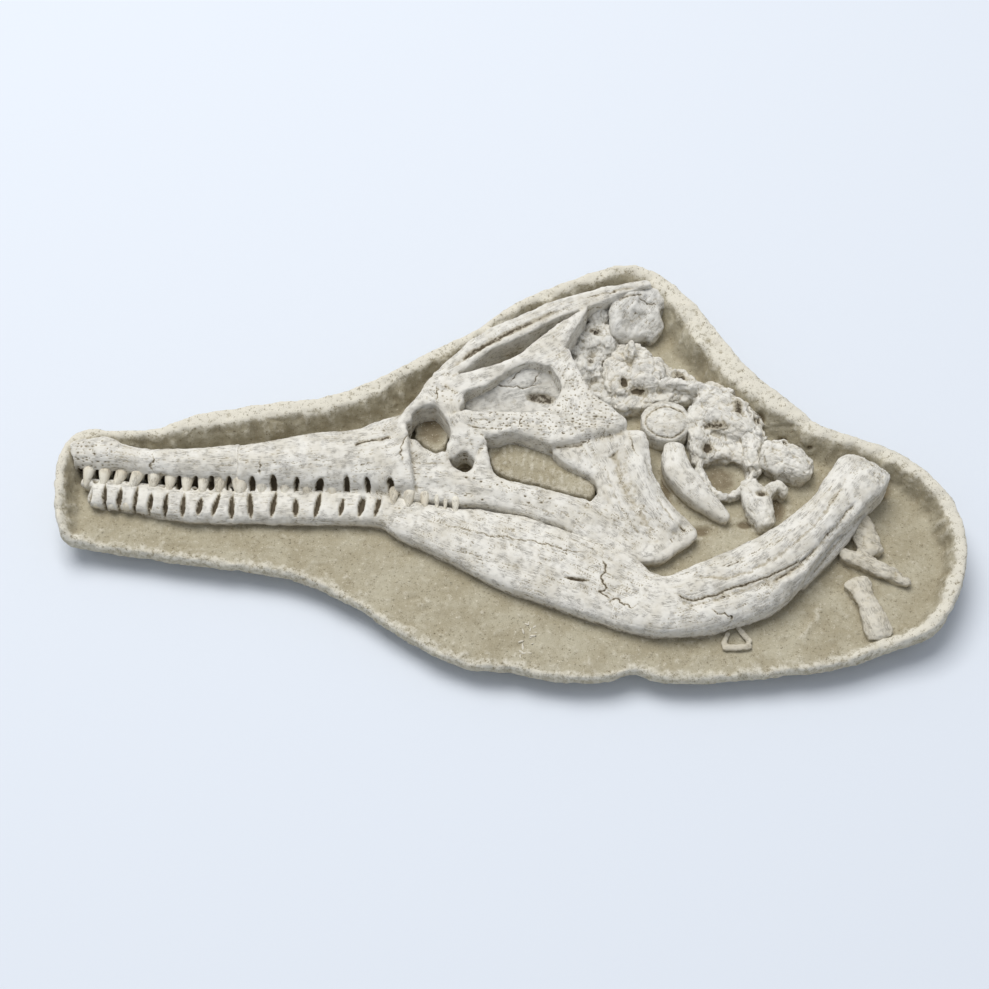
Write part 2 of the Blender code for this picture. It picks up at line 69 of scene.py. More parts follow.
MOST_TRIANGLES = 185_000
FOOT_RUN = 85.0  # how far in from the edge the foot's lean is felt
EVENED = 14  # rounds in which the directions across the edge are evened out
SHOULDER = 6  # how far the raised matrix in an opening lies below the bone round it
TOOL_MARKS = 260
STREAK_GAP = 9

# The slab's edge, counter-clockwise from the snout: x, y, height of the rim, width of its flat top
OUTLINE = [
    (-575, -6, 78, 7), (-571, -60, 70, 7), (-560, -98, 58, 7), (-540, -111, 48, 7), (-500, -120, 44, 6),
    (-400, -137, 44, 6), (-300, -151, 44, 6), (-250, -167, 44, 6), (-200, -194, 44, 6), (-150, -227, 44, 6),
    (-100, -261, 44, 6), (-50, -282, 44, 6), (0, -287, 44, 6), (60, -299, 44, 6), (110, -299, 44, 6),
    (150, -289, 44, 6), (180, -299, 44, 6), (250, -299, 44, 6), (310, -292, 45, 7), (380, -284, 47, 8),
    (450, -258, 52, 9), (513, -228, 60, 11), (549, -165, 68, 12), (561, -105, 73, 12), (553, -55, 75, 12),
    (533, -20, 76, 12), (503, 13, 76, 12), (458, 38, 76, 12), (420, 54, 78, 12), (390, 68, 80, 14),
    (360, 100, 82, 22), (315, 145, 84, 26), (285, 190, 85, 28), (262, 229, 85, 26), (242, 262, 85, 22),
    (200, 309, 85, 16), (155, 326, 85, 10), (118, 316, 85, 12), (80, 299, 85, 12), (10, 264, 85, 10),
    (-50, 214, 85, 9), (-110, 179, 85, 10), (-180, 134, 84, 16), (-240, 109, 84, 20), (-300, 101, 84, 18),
    (-350, 92, 84, 18), (-400, 82, 83, 18), (-450, 61, 82, 9), (-500, 57, 82, 8), (-535, 59, 82, 8),
    (-558, 50, 81, 7), (-571, 25, 80, 7),
]


def smooth(points, steps, closed=False):
    """A smooth run through the points, with steps spans between neighbours."""
    held = np.array(points, float)
    held = np.vstack([held[-1:], held, held[:2]]) if closed else np.vstack([held[:1], held, held[-1:]])
    t = np.arange(steps)[:, None] / steps
    spans = []
    for a, b, c, d in zip(held, held[1:], held[2:], held[3:]):
        spans.append(
            0.5 * (2 * b + (c - a) * t + (2 * a - 5 * b + 4 * c - d) * t**2 + (3 * b - a - 3 * c + d) * t**3)
        )
    return np.vstack(spans if closed else [*spans, held[-1:]])


def grounded(points):
    """Carries plan readings, whose first three columns are x, y and z, to where they stand."""
    held = np.array(points, float)
    held[:, 1] -= LEAN * (held[:, 2] - DATUM)
    return held


def metres(points):
    """Points in millimetres on the plan's axes, as metres from the origin."""
    return (np.asarray(points) - (*MIDDLE, 0)) * MM


def stood(name, data):
    """A new object in the scene."""
    made = bpy.data.objects.new(name, data)
    bpy.context.scene.collection.objects.link(made)
    return made


def worked_out(held):
    """The mesh that an object's modifiers make. They are dropped afterwards."""
    graph = bpy.context.evaluated_depsgraph_get()
    mesh = bpy.data.meshes.new_from_object(held.evaluated_get(graph))
    held.modifiers.clear()
    return mesh


def taken(items, label, kind=np.float32, each=3):
    """One property of many mesh items, a row for each item."""
    values = np.empty(len(items) * each, kind)
    items.foreach_get(label, values)
    return values.reshape(-1, each)


def mark(mesh, label, values):
    """Writes a value or a vector for each point into a mesh."""
    kind, key = ("FLOAT_VECTOR", "vector") if np.ndim(values) > 1 else ("FLOAT", "value")
    made = mesh.attributes.new(label, kind, "POINT")
    made.data.foreach_set(key, np.asarray(values, np.float32).ravel())


def nearest(x, y, run, closed=False):
    """Distance of each place to a run of points, and where on the run it is nearest, counted in spans."""
    best = np.full(np.shape(x), 1e9)
    where = np.zeros(np.shape(x))
    ends = np.vstack([run[1:], run[:1]]) if closed else run[1:]
    for i, (a, b) in enumerate(zip(run, ends)):
        dx, dy = b[0] - a[0], b[1] - a[1]
        t = np.clip(((x - a[0]) * dx + (y - a[1]) * dy) / (dx * dx + dy * dy + 1e-9), 0, 1)
        away = (x - a[0] - t * dx) ** 2 + (y - a[1] - t * dy) ** 2
        closer = away < best
        best = np.where(closer, away, best)
        where = np.where(closer, i + t, where)
    return np.sqrt(best), where


def inside(x, y, run):
    """Whether each place lies inside a closed run of points."""
    found = np.zeros(np.shape(x), bool)
    for a, b in zip(run, np.roll(run, -1, 0)):
        crosses = (a[1] > y) != (b[1] > y)
        slope = (b[0] - a[0]) / (b[1] - a[1] + 1e-12)
        found ^= crosses & (x < a[0] + (y - a[1]) * slope)
    return found


def lengths_along(run):
    """How far along a run each of its points lies."""
    return np.concatenate([[0], np.cumsum(np.hypot(*np.diff(run[:, :2], axis=0).T))])


def from_middle(dx, dy, length, width, turn):
    """Square of the distance from the middle of a turned ellipse, which is 1 on its edge."""
    cosine, sine = math.cos(math.radians(turn)), math.sin(math.radians(turn))
    return ((dx * cosine + dy * sine) * 2 / length) ** 2 + ((dy * cosine - dx * sine) * 2 / width) ** 2


def at(values, where):
    """Values between the points of a run, at places counted in spans."""
    low = np.floor(where).astype(int) % len(values)
    share = (where - np.floor(where))[..., None]
    return values[low] * (1 - share) + values[(low + 1) % len(values)] * share


def rough(places, size, octaves=4, seed=0.0):
    """Natural unevenness at each place, from about -1 to 1, with waves of the given size."""
    shifted = np.asarray(places, float) / size + seed * 17.3
    return np.array([noise.fractal(p, 0.9, 2.1, octaves) for p in shifted.tolist()]) * 1.3


class Heights:
    """The top of a piece over a level grid, built up from bars, plates and knobs."""

    def __init__(self, step, foot=BURIED):
        self.step, self.foot = step, foot
        self.x, self.y = np.meshgrid(np.arange(WEST, EAST, step), np.arange(SOUTH, NORTH, step))
        self.top = np.full(self.x.shape, foot)

    def window(self, run, reach):
        """The part of the grid round a run of points."""
        low, high = run[:, :2].min(0) - reach, run[:, :2].max(0) + reach
        columns = slice(max(0, int((low[0] - WEST) / self.step)), int((high[0] - WEST) / self.step) + 2)
        rows = slice(max(0, int((low[1] - SOUTH) / self.step)), int((high[1] - SOUTH) / self.step) + 2)
        return rows, columns

    def raise_to(self, part, height, covered):
        self.top[part] = np.where(covered, np.maximum(self.top[part], height), self.top[part])

    def bar(self, stations, roll=6.0, square=2.0):
        """A long rounded bone. Stations are x, y, z of its widest level, half width and rise of its top."""
        run = grounded(smooth(stations, 6))
        part = self.window(run, run[:, 3].max())
        x, y = self.x[part], self.y[part]
        away, where = nearest(x, y, run)
        held = at(run, np.clip(where, 0, len(run) - 1.001))
        lengths = lengths_along(run)
        along = np.interp(where, np.arange(len(run)), lengths)
        past = np.clip(1 - np.minimum(along, lengths[-1] - along) / roll, 0, 1)
        out = (away / held[..., 3]) ** square + past**square
        height = held[..., 2] + held[..., 4] * np.clip(1 - out, 0, 1) ** (1 / square)
        self.raise_to(part, height, out < 1)

    def plate(self, points, edge=7.0, crown=2.0, steps=4):
        """A flat bone with a rounded edge: its outline, counter-clockwise, as x, y and top z."""
        run = grounded(smooth(points, steps, closed=True))
        part = self.window(run, 3)
        x, y = self.x[part], self.y[part]
        away, _ = nearest(x, y, run, closed=True)
        total, weight = np.zeros(x.shape), np.zeros(x.shape)
        for spot in run[:: max(1, steps // 2)]:
            pull = ((x - spot[0]) ** 2 + (y - spot[1]) ** 2 + 30) ** -1.7
            total += pull * spot[2]
            weight += pull
        near = np.clip(1 - away / edge, 0, 1)
        height = total / weight - edge * (1 - np.sqrt(1 - near**2)) + crown * (1 - np.exp(-away / 14))
        self.raise_to(part, height, inside(x, y, run))

    def knob(self, x, y, z, length, width, rise, turn=0.0):
        """A rounded lump with its middle at z: full length and width, rise above z, turn in degrees."""
        spot = grounded([(x, y, z)])
        part = self.window(spot, max(length, width) / 2 + 2)
        dx, dy = self.x[part] - spot[0, 0], self.y[part] - spot[0, 1]
        out = from_middle(dx, dy, length, width, turn)
        self.raise_to(part, z + rise * np.sqrt(np.clip(1 - out, 0, 1)), out < 1)

    def blend(self, times):
        """Softens the creases where parts meet, without moving the outer edge."""
        covered = self.top > self.foot + 0.5
        for _ in range(times):
            total, weight = np.zeros(self.top.shape), np.zeros(self.top.shape)
            for dx, dy, share in ((0, 0, 2), (1, 0, 1), (-1, 0, 1), (0, 1, 1), (0, -1, 1)):
                there = np.roll(covered, (dy, dx), (0, 1))
                total += share * np.where(there, np.roll(self.top, (dy, dx), (0, 1)), 0)
                weight += share * there
            self.top = np.where(covered, total / np.maximum(weight, 1), self.foot)

    def shell(self):
        """The closed solid under the top: its points and its four-sided faces."""
        covered = self.top > self.foot + 0.5
        cell = covered[:-1, :-1] & covered[1:, :-1] & covered[:-1, 1:] & covered[1:, 1:]
        rows, columns = self.top.shape
        number = np.arange(rows * columns).reshape(rows, columns)
        a, b, c, d = number[:-1, :-1], number[:-1, 1:], number[1:, 1:], number[1:, :-1]
        under = rows * columns
        faces = [np.stack([a, b, c, d], -1)[cell], np.stack([d, c, b, a], -1)[cell] + under]
        walled = np.pad(cell, 1)
        for p, q, there in (
            (a, b, walled[:-2, 1:-1]), (b, c, walled[1:-1, 2:]),
            (c, d, walled[2:, 1:-1]), (d, a, walled[1:-1, :-2]),
        ):
            bare = cell & ~there
            faces.append(np.stack([q, p, p + under, q + under], -1)[bare])
        faces = np.vstack(faces)
        points = np.stack([self.x, self.y, self.top], -1).reshape(-1, 3)
        low = points.copy()
        low[:, 2] = self.foot
        used, faces = np.unique(faces, return_inverse=True)
        return np.vstack([points, low])[used], faces.reshape(-1, 4)


class Carving:
    """A piece while it is carved: a closed surface of small even faces, whose points are moved one by one."""

    def __init__(self, name, shell, face, relax=4):
        points, faces = shell
        block = bpy.data.meshes.new(name)
        block.from_pydata(metres(points).tolist(), [], faces.tolist())
        held = stood(name, block)
        remesh = held.modifiers.new("small faces", "REMESH")
        remesh.mode = "VOXEL"
        remesh.voxel_size = face * MM
        held.data = worked_out(held)
        underneath = (points[:, 2].min() + 0.6) * MM
        under = (taken(held.data.polygons, "center")[:, 2] < underneath).mean()
        thin_out = held.modifiers.new("fewer faces underneath", "DECIMATE")
        thin_out.ratio = 1 - SPARED * under
        self.mesh = worked_out(held)
        self.mesh.name = self.name = name
        bpy.data.objects.remove(held)
        count = len(self.mesh.vertices)
        self.points = taken(self.mesh.vertices, "co").astype(float) / MM + (*MIDDLE, 0)
        self.edges = taken(self.mesh.edges, "vertices", np.int32, 2)
        self.degree = np.bincount(self.edges.ravel(), minlength=count)[:, None]
        self.stain_and_shade = np.zeros(count)
        self.points = self.relaxed(self.points, relax)
        self.look()

    def relaxed(self, values, times, share=0.6):
        """Values drawn towards the mean of their neighbours."""
        a, b = self.edges.T
        for _ in range(times):
            sums = [np.bincount(a, v[b], len(v)) + np.bincount(b, v[a], len(v)) for v in values.T]
            values = values * (1 - share) + share * np.stack(sums, -1) / self.degree
        return values

    def look(self):
        """Takes the normals, the plan places and how much each point faces the viewer, as it is now."""
        self.mesh.vertices.foreach_set("co", metres(self.points).astype(np.float32).ravel())
        self.mesh.update()
        self.normals = taken(self.mesh.vertex_normals, "vector").astype(float)
        self.plan = self.points[:, :2] + np.outer(self.points[:, 2] - DATUM, (0, LEAN))
        tilt = math.atan(1 / LEAN)
        facing = self.normals @ np.array([0, -math.cos(tilt), math.sin(tilt)])
        self.facing = np.clip(facing * 2.5 + 0.2, 0, 1)
        self.offset = np.zeros(len(self.points))

    def settle(self):
        """Moves the points by what was carved since the last look."""
        self.points = self.points + self.normals * self.offset[:, None]
        self.look()

    def chosen(self, run, reach):
        low, high = run.min(0) - reach, run.max(0) + reach
        return np.flatnonzero(((self.plan > low) & (self.plan < high)).all(1) & (self.facing > 0))

    def groove(self, line, width, depth, stain_and_shade=0.0, wander=1.5, rounded=True):
        """Cuts a groove along a line read on the plan, or raises a ridge where the depth is below nothing."""
        run = smooth(line, 4) if rounded else np.array(line, float)
        picked = self.chosen(run, width * 3 + wander)
        places = self.plan[picked]
        if wander:
            off = np.column_stack([places, np.zeros(len(places))])
            shift = np.stack([rough(off, 14, 3, seed) for seed in (1.7, 5.2)], -1)
            places = places + shift * wander
        away, where = nearest(places[:, 0], places[:, 1], run)
        ends = np.clip(np.minimum(where, len(run) - 1 - where) / max(1.0, 0.12 * len(run)), 0.25, 1)
        share = np.exp(-((away / width) ** 2)) * self.facing[picked] * ends
        self.offset[picked] -= depth * share
        self.stain_and_shade[picked] = np.maximum(self.stain_and_shade[picked], stain_and_shade * share)

    def crack(self, line, width=1.1, depth=1.4, stain_and_shade=0.7, wander=3.0):
        self.groove(line, width, depth, stain_and_shade, wander, rounded=False)

    def grooves(self, *rows):
        """Cuts a groove for each row: its width, its depth, its stain, and then its line."""
        for width, depth, stain_and_shade, *line in rows:
            self.groove(line, width, depth, stain_and_shade)

    def cracks(self, *rows):
        """Cuts a fine crack for each row: its stain, and then its line."""
        for stain_and_shade, *line in rows:
            self.crack(line, stain_and_shade=stain_and_shade)

    def bowls(self, stain_and_shade, sharp, *rows):
        """Sinks a hollow for each row: its place, length, width and depth."""
        for x, y, length, width, depth in rows:
            self.bowl(x, y, length, width, depth, 0.0, stain_and_shade, sharp)

    def bowl(self, x, y, length, width, depth, turn=0.0, stain_and_shade=0.0, sharp=2.0):
        """Sinks a rounded hollow, or raises a lump where the depth is below nothing."""
        picked = self.chosen(np.array([(x, y)]), max(length, width))
        dx, dy = (self.plan[picked] - (x, y)).T
        out = from_middle(dx, dy, length, width, turn)
        share = np.exp(-(out ** (sharp / 2))) * self.facing[picked]
        self.offset[picked] -= depth * share
        self.stain_and_shade[picked] = np.maximum(self.stain_and_shade[picked], stain_and_shade * share)

    def pits(self, area, spacing, size, depth, seed, stain_and_shade=0.7):
        """Peppers an area with small pits."""
        draw = random.Random(seed)
        edge = np.array(area, float)
        low, high = edge.min(0), edge.max(0)
        picked = self.chosen(edge, 0)
        places = self.plan[picked]
        sunk = np.zeros(len(places))
        for row in range(int((high[1] - low[1]) / spacing) + 1):
            for column in range(int((high[0] - low[0]) / spacing) + 1):
                x = low[0] + (column + draw.uniform(-0.45, 0.45) + 0.5 * (row % 2)) * spacing
                y = low[1] + (row + draw.uniform(-0.45, 0.45)) * spacing
                wide, long = size * draw.uniform(0.6, 1.25), draw.uniform(1.0, 1.8)
                if not inside(x, y, edge) or draw.random() < 0.15:
                    continue
                close = np.flatnonzero((np.abs(places - (x, y)) < 3 * wide * long).all(1))
                out = ((places[close, 0] - x) / (wide * long)) ** 2 + ((places[close, 1] - y) / wide) ** 2
                sunk[close] = np.maximum(sunk[close], np.exp(-(out**1.4)))
        # Painted shade: each pit is darkened towards its bottom.
        self.offset[picked] -= depth * sunk * self.facing[picked]
        self.stain_and_shade[picked] = np.maximum(self.stain_and_shade[picked], stain_and_shade * sunk * self.facing[picked])

    def weather(self, size, height, octaves=4, seed=0.0):
        self.offset += height * rough(self.points, size, octaves, seed)

    def crush(self, size, step, gap, seed, stain_and_shade=0.16):
        """Breaks the surface into small blocks that stand unevenly, with a crack round each."""
        for number, place in enumerate((self.points / size + seed * 7.1).tolist()):
            spread, centres = noise.voronoi(place)
            border = math.exp(-(((spread[1] - spread[0]) / 0.1) ** 2))
            self.offset[number] += step * noise.noise(centres[0] * 5.3) - gap * border
            self.stain_and_shade[number] = max(self.stain_and_shade[number], stain_and_shade * border)

    def fibres(self, lines, depth, seed, stain_and_shade=0.4):
        """Cuts hair-thin broken grooves along the lines that the bone's fibres follow."""
        lie = self.grain(lines) * FIBRE_STRETCH
        thin = np.clip(1 - np.abs(rough(lie, 1.0, 3, seed)) / 0.15, 0, 1)
        thin = thin * np.clip(rough(self.points, 30, 3, seed + 2.0) * 2 + 0.8, 0, 1)
        self.offset -= depth * thin
        self.stain_and_shade = np.maximum(self.stain_and_shade, stain_and_shade * thin)

    def undercut(self, depth, height=12.0):
        """Draws in the foot of the walls above the bed, where matrix was cleaned away from the bone."""
        wall = np.clip(1 - np.abs(self.normals[:, 2]) * 2, 0, 1)
        low = np.clip(1 - (self.points[:, 2] - BED) / height, 0, 1)
        self.offset -= depth * wall * low

    def hollows(self):
        """How deep each point lies below the surface round it, in millimetres."""
        near = self.relaxed(self.points, 3)
        wide = self.relaxed(near, 22)
        fine = ((near - self.points) * self.normals).sum(1)
        broad = ((wide - self.points) * self.normals).sum(1)
        return np.clip(fine / 0.35, -1, 1), np.clip(broad / 1.6, -1, 1)

    def put(self, finish, nodes, grain=None, extra=None, hollow_shade=1.0):
        """Makes the piece: its mesh with its marks, on the body that it rides on, in place of the nodes."""
        over = np.maximum(self.points[:, 2] - HIGH, 0)
        self.points[:, 2] = np.maximum(self.points[:, 2] - DRAWN_DOWN * over, 0)
        self.look()
        # Painted shade: points that lie below the surface round them are darkened, as much as hollow_shade
        # says; points above it are marked worn.
        fine, broad = self.hollows()
        low = np.clip(1 - (self.points[:, 2] - BED) / 9, 0, 1)
        darkening = hollow_shade * (0.45 * np.maximum(fine, 0) + 0.42 * np.maximum(broad, 0))
        marks = {"stain_and_shade": np.clip(self.stain_and_shade + darkening, 0, 1)}
        marks["worn"] = np.clip(0.6 * np.maximum(-fine, 0) + 0.7 * np.maximum(-broad, 0), 0, 1)
        marks["low"] = low
        marks.update(extra or {})
        for label, values in marks.items():
            mark(self.mesh, label, values)
        if grain:
            mark(self.mesh, "lie", self.grain(grain))
        self.mesh.shade_smooth()
        self.mesh.materials.clear()
        self.mesh.materials.append(finish)
        piece = stood(self.name, self.mesh)
        triangles = sum(len(face.vertices) - 2 for face in self.mesh.polygons)
        if triangles > MOST_TRIANGLES:
            thin_out = piece.modifiers.new("fewer faces where it is plain", "DECIMATE")
            thin_out.ratio = MOST_TRIANGLES / triangles
            piece.data = worked_out(piece)
        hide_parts(*nodes)
        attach(piece, "root")

    def grain(self, lines):
        """For each point, how far along and across the nearest of the lines that its bone fibres follow."""
        best = np.full(len(self.points), 1e9)
        lie = np.zeros((len(self.points), 3))
        for line in lines:
            run = smooth(line, 5)
            away, where = nearest(self.plan[:, 0], self.plan[:, 1], run)
            along = np.interp(where, np.arange(len(run)), lengths_along(run))
            spot = at(run, np.clip(where, 0, len(run) - 1.001))
            ahead = at(run, np.clip(where + 0.5, 0, len(run) - 1.001)) - spot
            beside = self.plan - spot
            side = np.sign(ahead[:, 0] * beside[:, 1] - ahead[:, 1] * beside[:, 0])
            closer = away < best
            best = np.where(closer, away, best)
            lie[closer] = np.stack([along, away * side, self.points[:, 2]], -1)[closer]
        return lie * 0.1


def tone(red, green, blue):
    """A paint tone, given as it looks on a screen, as light values."""
    return tuple(
        (v / 255 / 12.92) if v <= 10 else ((v / 255 + 0.055) / 1.055) ** 2.4 for v in (red, green, blue)
    ) + (1.0,)


def add(tree, kind, inputs=None, **settings):
    """A node in the tree. Each input is a value, or the output of another node."""
    made = tree.nodes.new(kind if "Node" in kind else "ShaderNode" + kind)
    for label, value in settings.items():
        setattr(made, label, value)
    for key, value in (inputs or {}).items():
        if isinstance(value, bpy.types.NodeSocket):
            tree.links.new(value, made.inputs[key])
        else:
            made.inputs[key].default_value = value
    return made


def maths(tree, operation, *values):
    return add(tree, "Math", dict(enumerate(values)), operation=operation).outputs[0]


def mixed(tree, share, first, second):
    """A tone between two, nearer to the second as the share grows."""
    return add(tree, "Mix", {0: share, 6: first, 7: second}, data_type="RGBA").outputs[2]


def times(tree, first, second):
    return maths(tree, "MULTIPLY", first, second)


def clouds(tree, place, scale, detail, roughness=0.5):
    """Soft noise at a place, about 0.5 in the mean."""
    inputs = {"Vector": place, "Scale": scale, "Detail": detail, "Roughness": roughness}
    return add(tree, "TexNoise", inputs).outputs[0]


def marked(tree, label, output="Fac"):
    """What was written into the mesh under this label."""
    return add(tree, "Attribute", attribute_name=label).outputs[output]


def new_finish(name, roughness, shine):
    """A material with its tree and its shader, whose roughness and shine are set."""
    finish = bpy.data.materials.new(name)
    finish.use_nodes = True
    shader = finish.node_tree.nodes["Principled BSDF"]
    shader.inputs["Roughness"].default_value = roughness
    shader.inputs["Specular IOR Level"].default_value = shine
    return finish, finish.node_tree, shader


def stepped(tree, value, low, high):
    """A smooth step of a value from 0 at the low bound to 1 at the high one."""
    inputs = {"Value": value, "From Min": low, "From Max": high}
    return add(tree, "MapRange", inputs, interpolation_type="SMOOTHSTEP").outputs[0]


def effect(name, inputs, outputs):
    """A shader node group with named inputs and outputs: its tree, what goes in, and its results."""
    tree = bpy.data.node_groups.new(name, "ShaderNodeTree")
    for label, kind in inputs:
        tree.interface.new_socket(label, in_out="INPUT", socket_type=kind)
    for label, kind in outputs:
        tree.interface.new_socket(label, in_out="OUTPUT", socket_type=kind)
    return tree, tree.nodes.new("NodeGroupInput").outputs, tree.nodes.new("NodeGroupOutput").inputs


def sand_grain():
    """Sand grains of the matrix: fine pale and dark specks, and the bumps that they make."""
    tree, given, result = effect(
        "sand_grain",
        [("Place", "NodeSocketVector"), ("Fineness", "NodeSocketFloat")],
        [("Specks", "NodeSocketFloat"), ("Height", "NodeSocketFloat")],
    )
    fine = clouds(tree, given[0], given[1], 3.0, 0.7)
    lumps = clouds(tree, given[0], times(tree, given[1], 0.27), 4.0, 0.65)
    tree.links.new(maths(tree, "ADD", times(tree, fine, 0.6), times(tree, lumps, 0.4)), result[0])
    tree.links.new(maths(tree, "ADD", times(tree, fine, 0.45), lumps), result[1])
    return tree


SAND_GRAIN = sand_grain()


def matrix_finish():
    """Sandy rock, tan and slightly mottled, pale and dusty on the rim, and darker with stains and with
    painted shade in hollows, deep pits and on the rim's inner wall.
    """
    finish, tree, shader = new_finish("matrix", 0.95, 0.15)
    place = add(tree, "TexCoord").outputs["Object"]
    grain = add(tree, "Group", node_tree=SAND_GRAIN)
    tree.links.new(place, grain.inputs["Place"])
    grain.inputs["Fineness"].default_value = 620.0
    stain_and_shade, worn, crust = (marked(tree, label) for label in ("stain_and_shade", "worn", "crust"))
    patches = clouds(tree, place, 22.0, 5.0, 0.6)
    tan = mixed(tree, stepped(tree, patches, 0.35, 0.68), tone(166, 157, 133), tone(184, 177, 155))
    dusty = maths(tree, "ADD", crust, times(tree, worn, 0.35))
    dusty = times(tree, dusty, maths(tree, "ADD", 0.45, stepped(tree, grain.outputs[1], 0.55, 0.85)))
    tan = mixed(tree, stepped(tree, dusty, 0.0, 1.0), tan, tone(222, 217, 202))
    # Stains and painted shade darken the tan: hollows, deep pits, openings and the rim's inner wall.
    tan = mixed(tree, stepped(tree, stain_and_shade, 0.05, 1.0), tan, tone(128, 116, 94))
    light = mixed(tree, stepped(tree, grain.outputs[0], 0.56, 0.68), tan, tone(222, 215, 196))
    dark = mixed(tree, stepped(tree, grain.outputs[0], 0.46, 0.34), light, tone(118, 107, 86))
    tree.links.new(dark, shader.inputs["Base Color"])
    bump = add(tree, "Bump", {"Strength": 0.8, "Distance": 0.0014, "Height": grain.outputs[1]})
    tree.links.new(bump.outputs[0], shader.inputs["Normal"])
    return finish


# Openings through which raised matrix shows, the cheek's and the eye's
CHEEK_MATRIX = [
    (-30, 36), (-33, 24), (-24, -3), (-5, -16), (30, -25), (65, -37), (98, -46), (106, -38), (103, -19),
    (88, -6), (60, 12), (54, 32), (30, 42), (0, 51), (-22, 45),
]
EYE_MATRIX = [
    (-126, 66), (-124, 46), (-111, 34), (-96, 24), (-86, 28), (-79, 50), (-82, 66), (-90, 84), (-98, 94),
    (-115, 91),
]

rim = grounded(smooth(OUTLINE, 8, closed=True))
ground = Heights(SLAB_GRID, foot=0.0)
within = inside(ground.x, ground.y, rim)
to_edge, beside = nearest(ground.x, ground.y, rim[::2], closed=True)
rim_top, rim_band = np.moveaxis(at(rim[::2][:, 2:4], beside), -1, 0)
level_places = np.column_stack([ground.x.ravel(), ground.y.ravel(), np.zeros(ground.x.size)])
uneven = rough(level_places, 46, 4, 3.1).reshape(ground.x.shape)
ragged = rough(level_places, 17, 4, 8.4).reshape(ground.x.shape)
edge_round = 3.0 * np.clip(1 - to_edge / 3.5, 0, 1) ** 2
tilted = 1.5 * (0.5 - np.clip(to_edge / (rim_band + 2), 0, 1))
crest = rim_top - edge_round + tilted + 1.8 * ragged * np.clip(to_edge / 3, 0, 1)
run_down = WALL_RUN * (rim_top - BED) + 9 + 26 * np.clip((50 - rim_top) / 6, 0, 1)
down_wall = np.clip((to_edge - rim_band - 4.5 * ragged - 3.0 * uneven) / run_down, 0, 1)
down_wall = down_wall * down_wall * (3 - 2 * down_wall)
bed = BED + 0.9 * uneven + 0.35 * ragged
for opening, standing, slope in ((CHEEK_MATRIX, 67, 9), (EYE_MATRIX, 66, -6)):
    seen = np.column_stack([ground.x.ravel(), ground.y.ravel() + LEAN * (standing - SHOULDER - DATUM)])
    hole = np.array(opening, float)
    from_side, _ = nearest(*seen.T, hole, closed=True)
    reach_in = np.where(inside(*seen.T, hole), from_side, 0)
    lump = standing - SHOULDER + slope * np.clip(reach_in / 22, 0, 1) * 0.4 - BED
    bed = bed + (lump * (reach_in > 0)).reshape(bed.shape)
ground.top = np.where(within, crest * (1 - down_wall) + bed * down_wall, 0)

slab = Carving("matrix_slab", ground.shell(), SLAB_FACE, relax=3)
away, spans = nearest(slab.points[:, 0], slab.points[:, 1], rim[::2], closed=True)
deep = np.where(inside(slab.points[:, 0], slab.points[:, 1], rim), away, 0)
edge_here = at(rim[::2], spans)
ways = np.roll(rim[::2, :2], -1, 0) - np.roll(rim[::2, :2], 1, 0)
for _ in range(EVENED):
    ways = ways + np.roll(ways, 1, 0) + np.roll(ways, -1, 0)
    ways /= np.linalg.norm(ways, axis=1)[:, None]
inward = at(np.column_stack([-ways[:, 1], ways[:, 0]]), spans)
share = np.clip(slab.points[:, 2] / edge_here[:, 2], 0, 1)
flare = FLARE * np.maximum(0, -inward[:, 1]) * np.clip((edge_here[:, 0] - 180) / 200, 0, 1)
drawn_in = np.interp(share, (0, 0.12, 0.32, 0.66, 0.85, 0.97), (UNDERCUT, 21, 8.5, -BULGE, -BULGE, 0))
drawn_in = drawn_in - flare * np.interp(share, (0, 0.32, 0.66, 0.97), (0, 1, 1, 0))
room = np.clip(1 - deep / FOOT_RUN, 0, 1) ** 2
on_side = (share < 0.97) & (slab.points[:, 2] < edge_here[:, 2] - 2) & ((deep < 3) | (slab.points[:, 2] < 2))
slab.points[:, :2] += inward * (drawn_in * room * on_side)[:, None]
slab.look()
side = np.clip(1 - deep / 4, 0, 1) * (slab.points[:, 2] > 2)
slab.offset += side * (2.0 * rough(slab.points, 30, 4, 2.0) - 1.0) * (share < 0.95)
topward = np.clip(slab.normals[:, 2], 0, 1)
slab.offset += 0.55 * rough(slab.points, 8, 3, 4.0) * (slab.points[:, 2] > 2)
on_rim = np.clip(1 - (deep - edge_here[:, 3] - 2) / 6, 0, 1) * topward
slab.offset += (0.7 * rough(slab.points, 11, 4, 5.5) + 0.9 * rough(slab.points, 24, 3, 6.5)) * on_rim
# Painted shade on the steep inner walls of the rim.
inner_wall = np.clip((0.93 - slab.normals[:, 2]) * 3, 0, 1) * (deep > 2) * (slab.points[:, 2] > BED)
slab.stain_and_shade = np.maximum(slab.stain_and_shade, 0.1 * inner_wall)
slab.settle()
draw = random.Random(5)
for _ in range(TOOL_MARKS):  # left by the tools that cleared the bed
    x, y = draw.uniform(-540, 530), draw.uniform(-285, 250)
    long, wide, deep_down = draw.uniform(12, 34), draw.uniform(4, 8), draw.uniform(0.5, 1.7)
    slab.bowl(x, y, long, wide, deep_down, draw.uniform(-70, 70), 0.12)
for x in range(-24, 90, STREAK_GAP):  # streaks down the matrix inside the cheek
    slab.groove([(x + draw.uniform(-3, 3), 46), (x + draw.uniform(-2, 4), -40)], 2.4, 0.7, 0.08, wander=2.5)
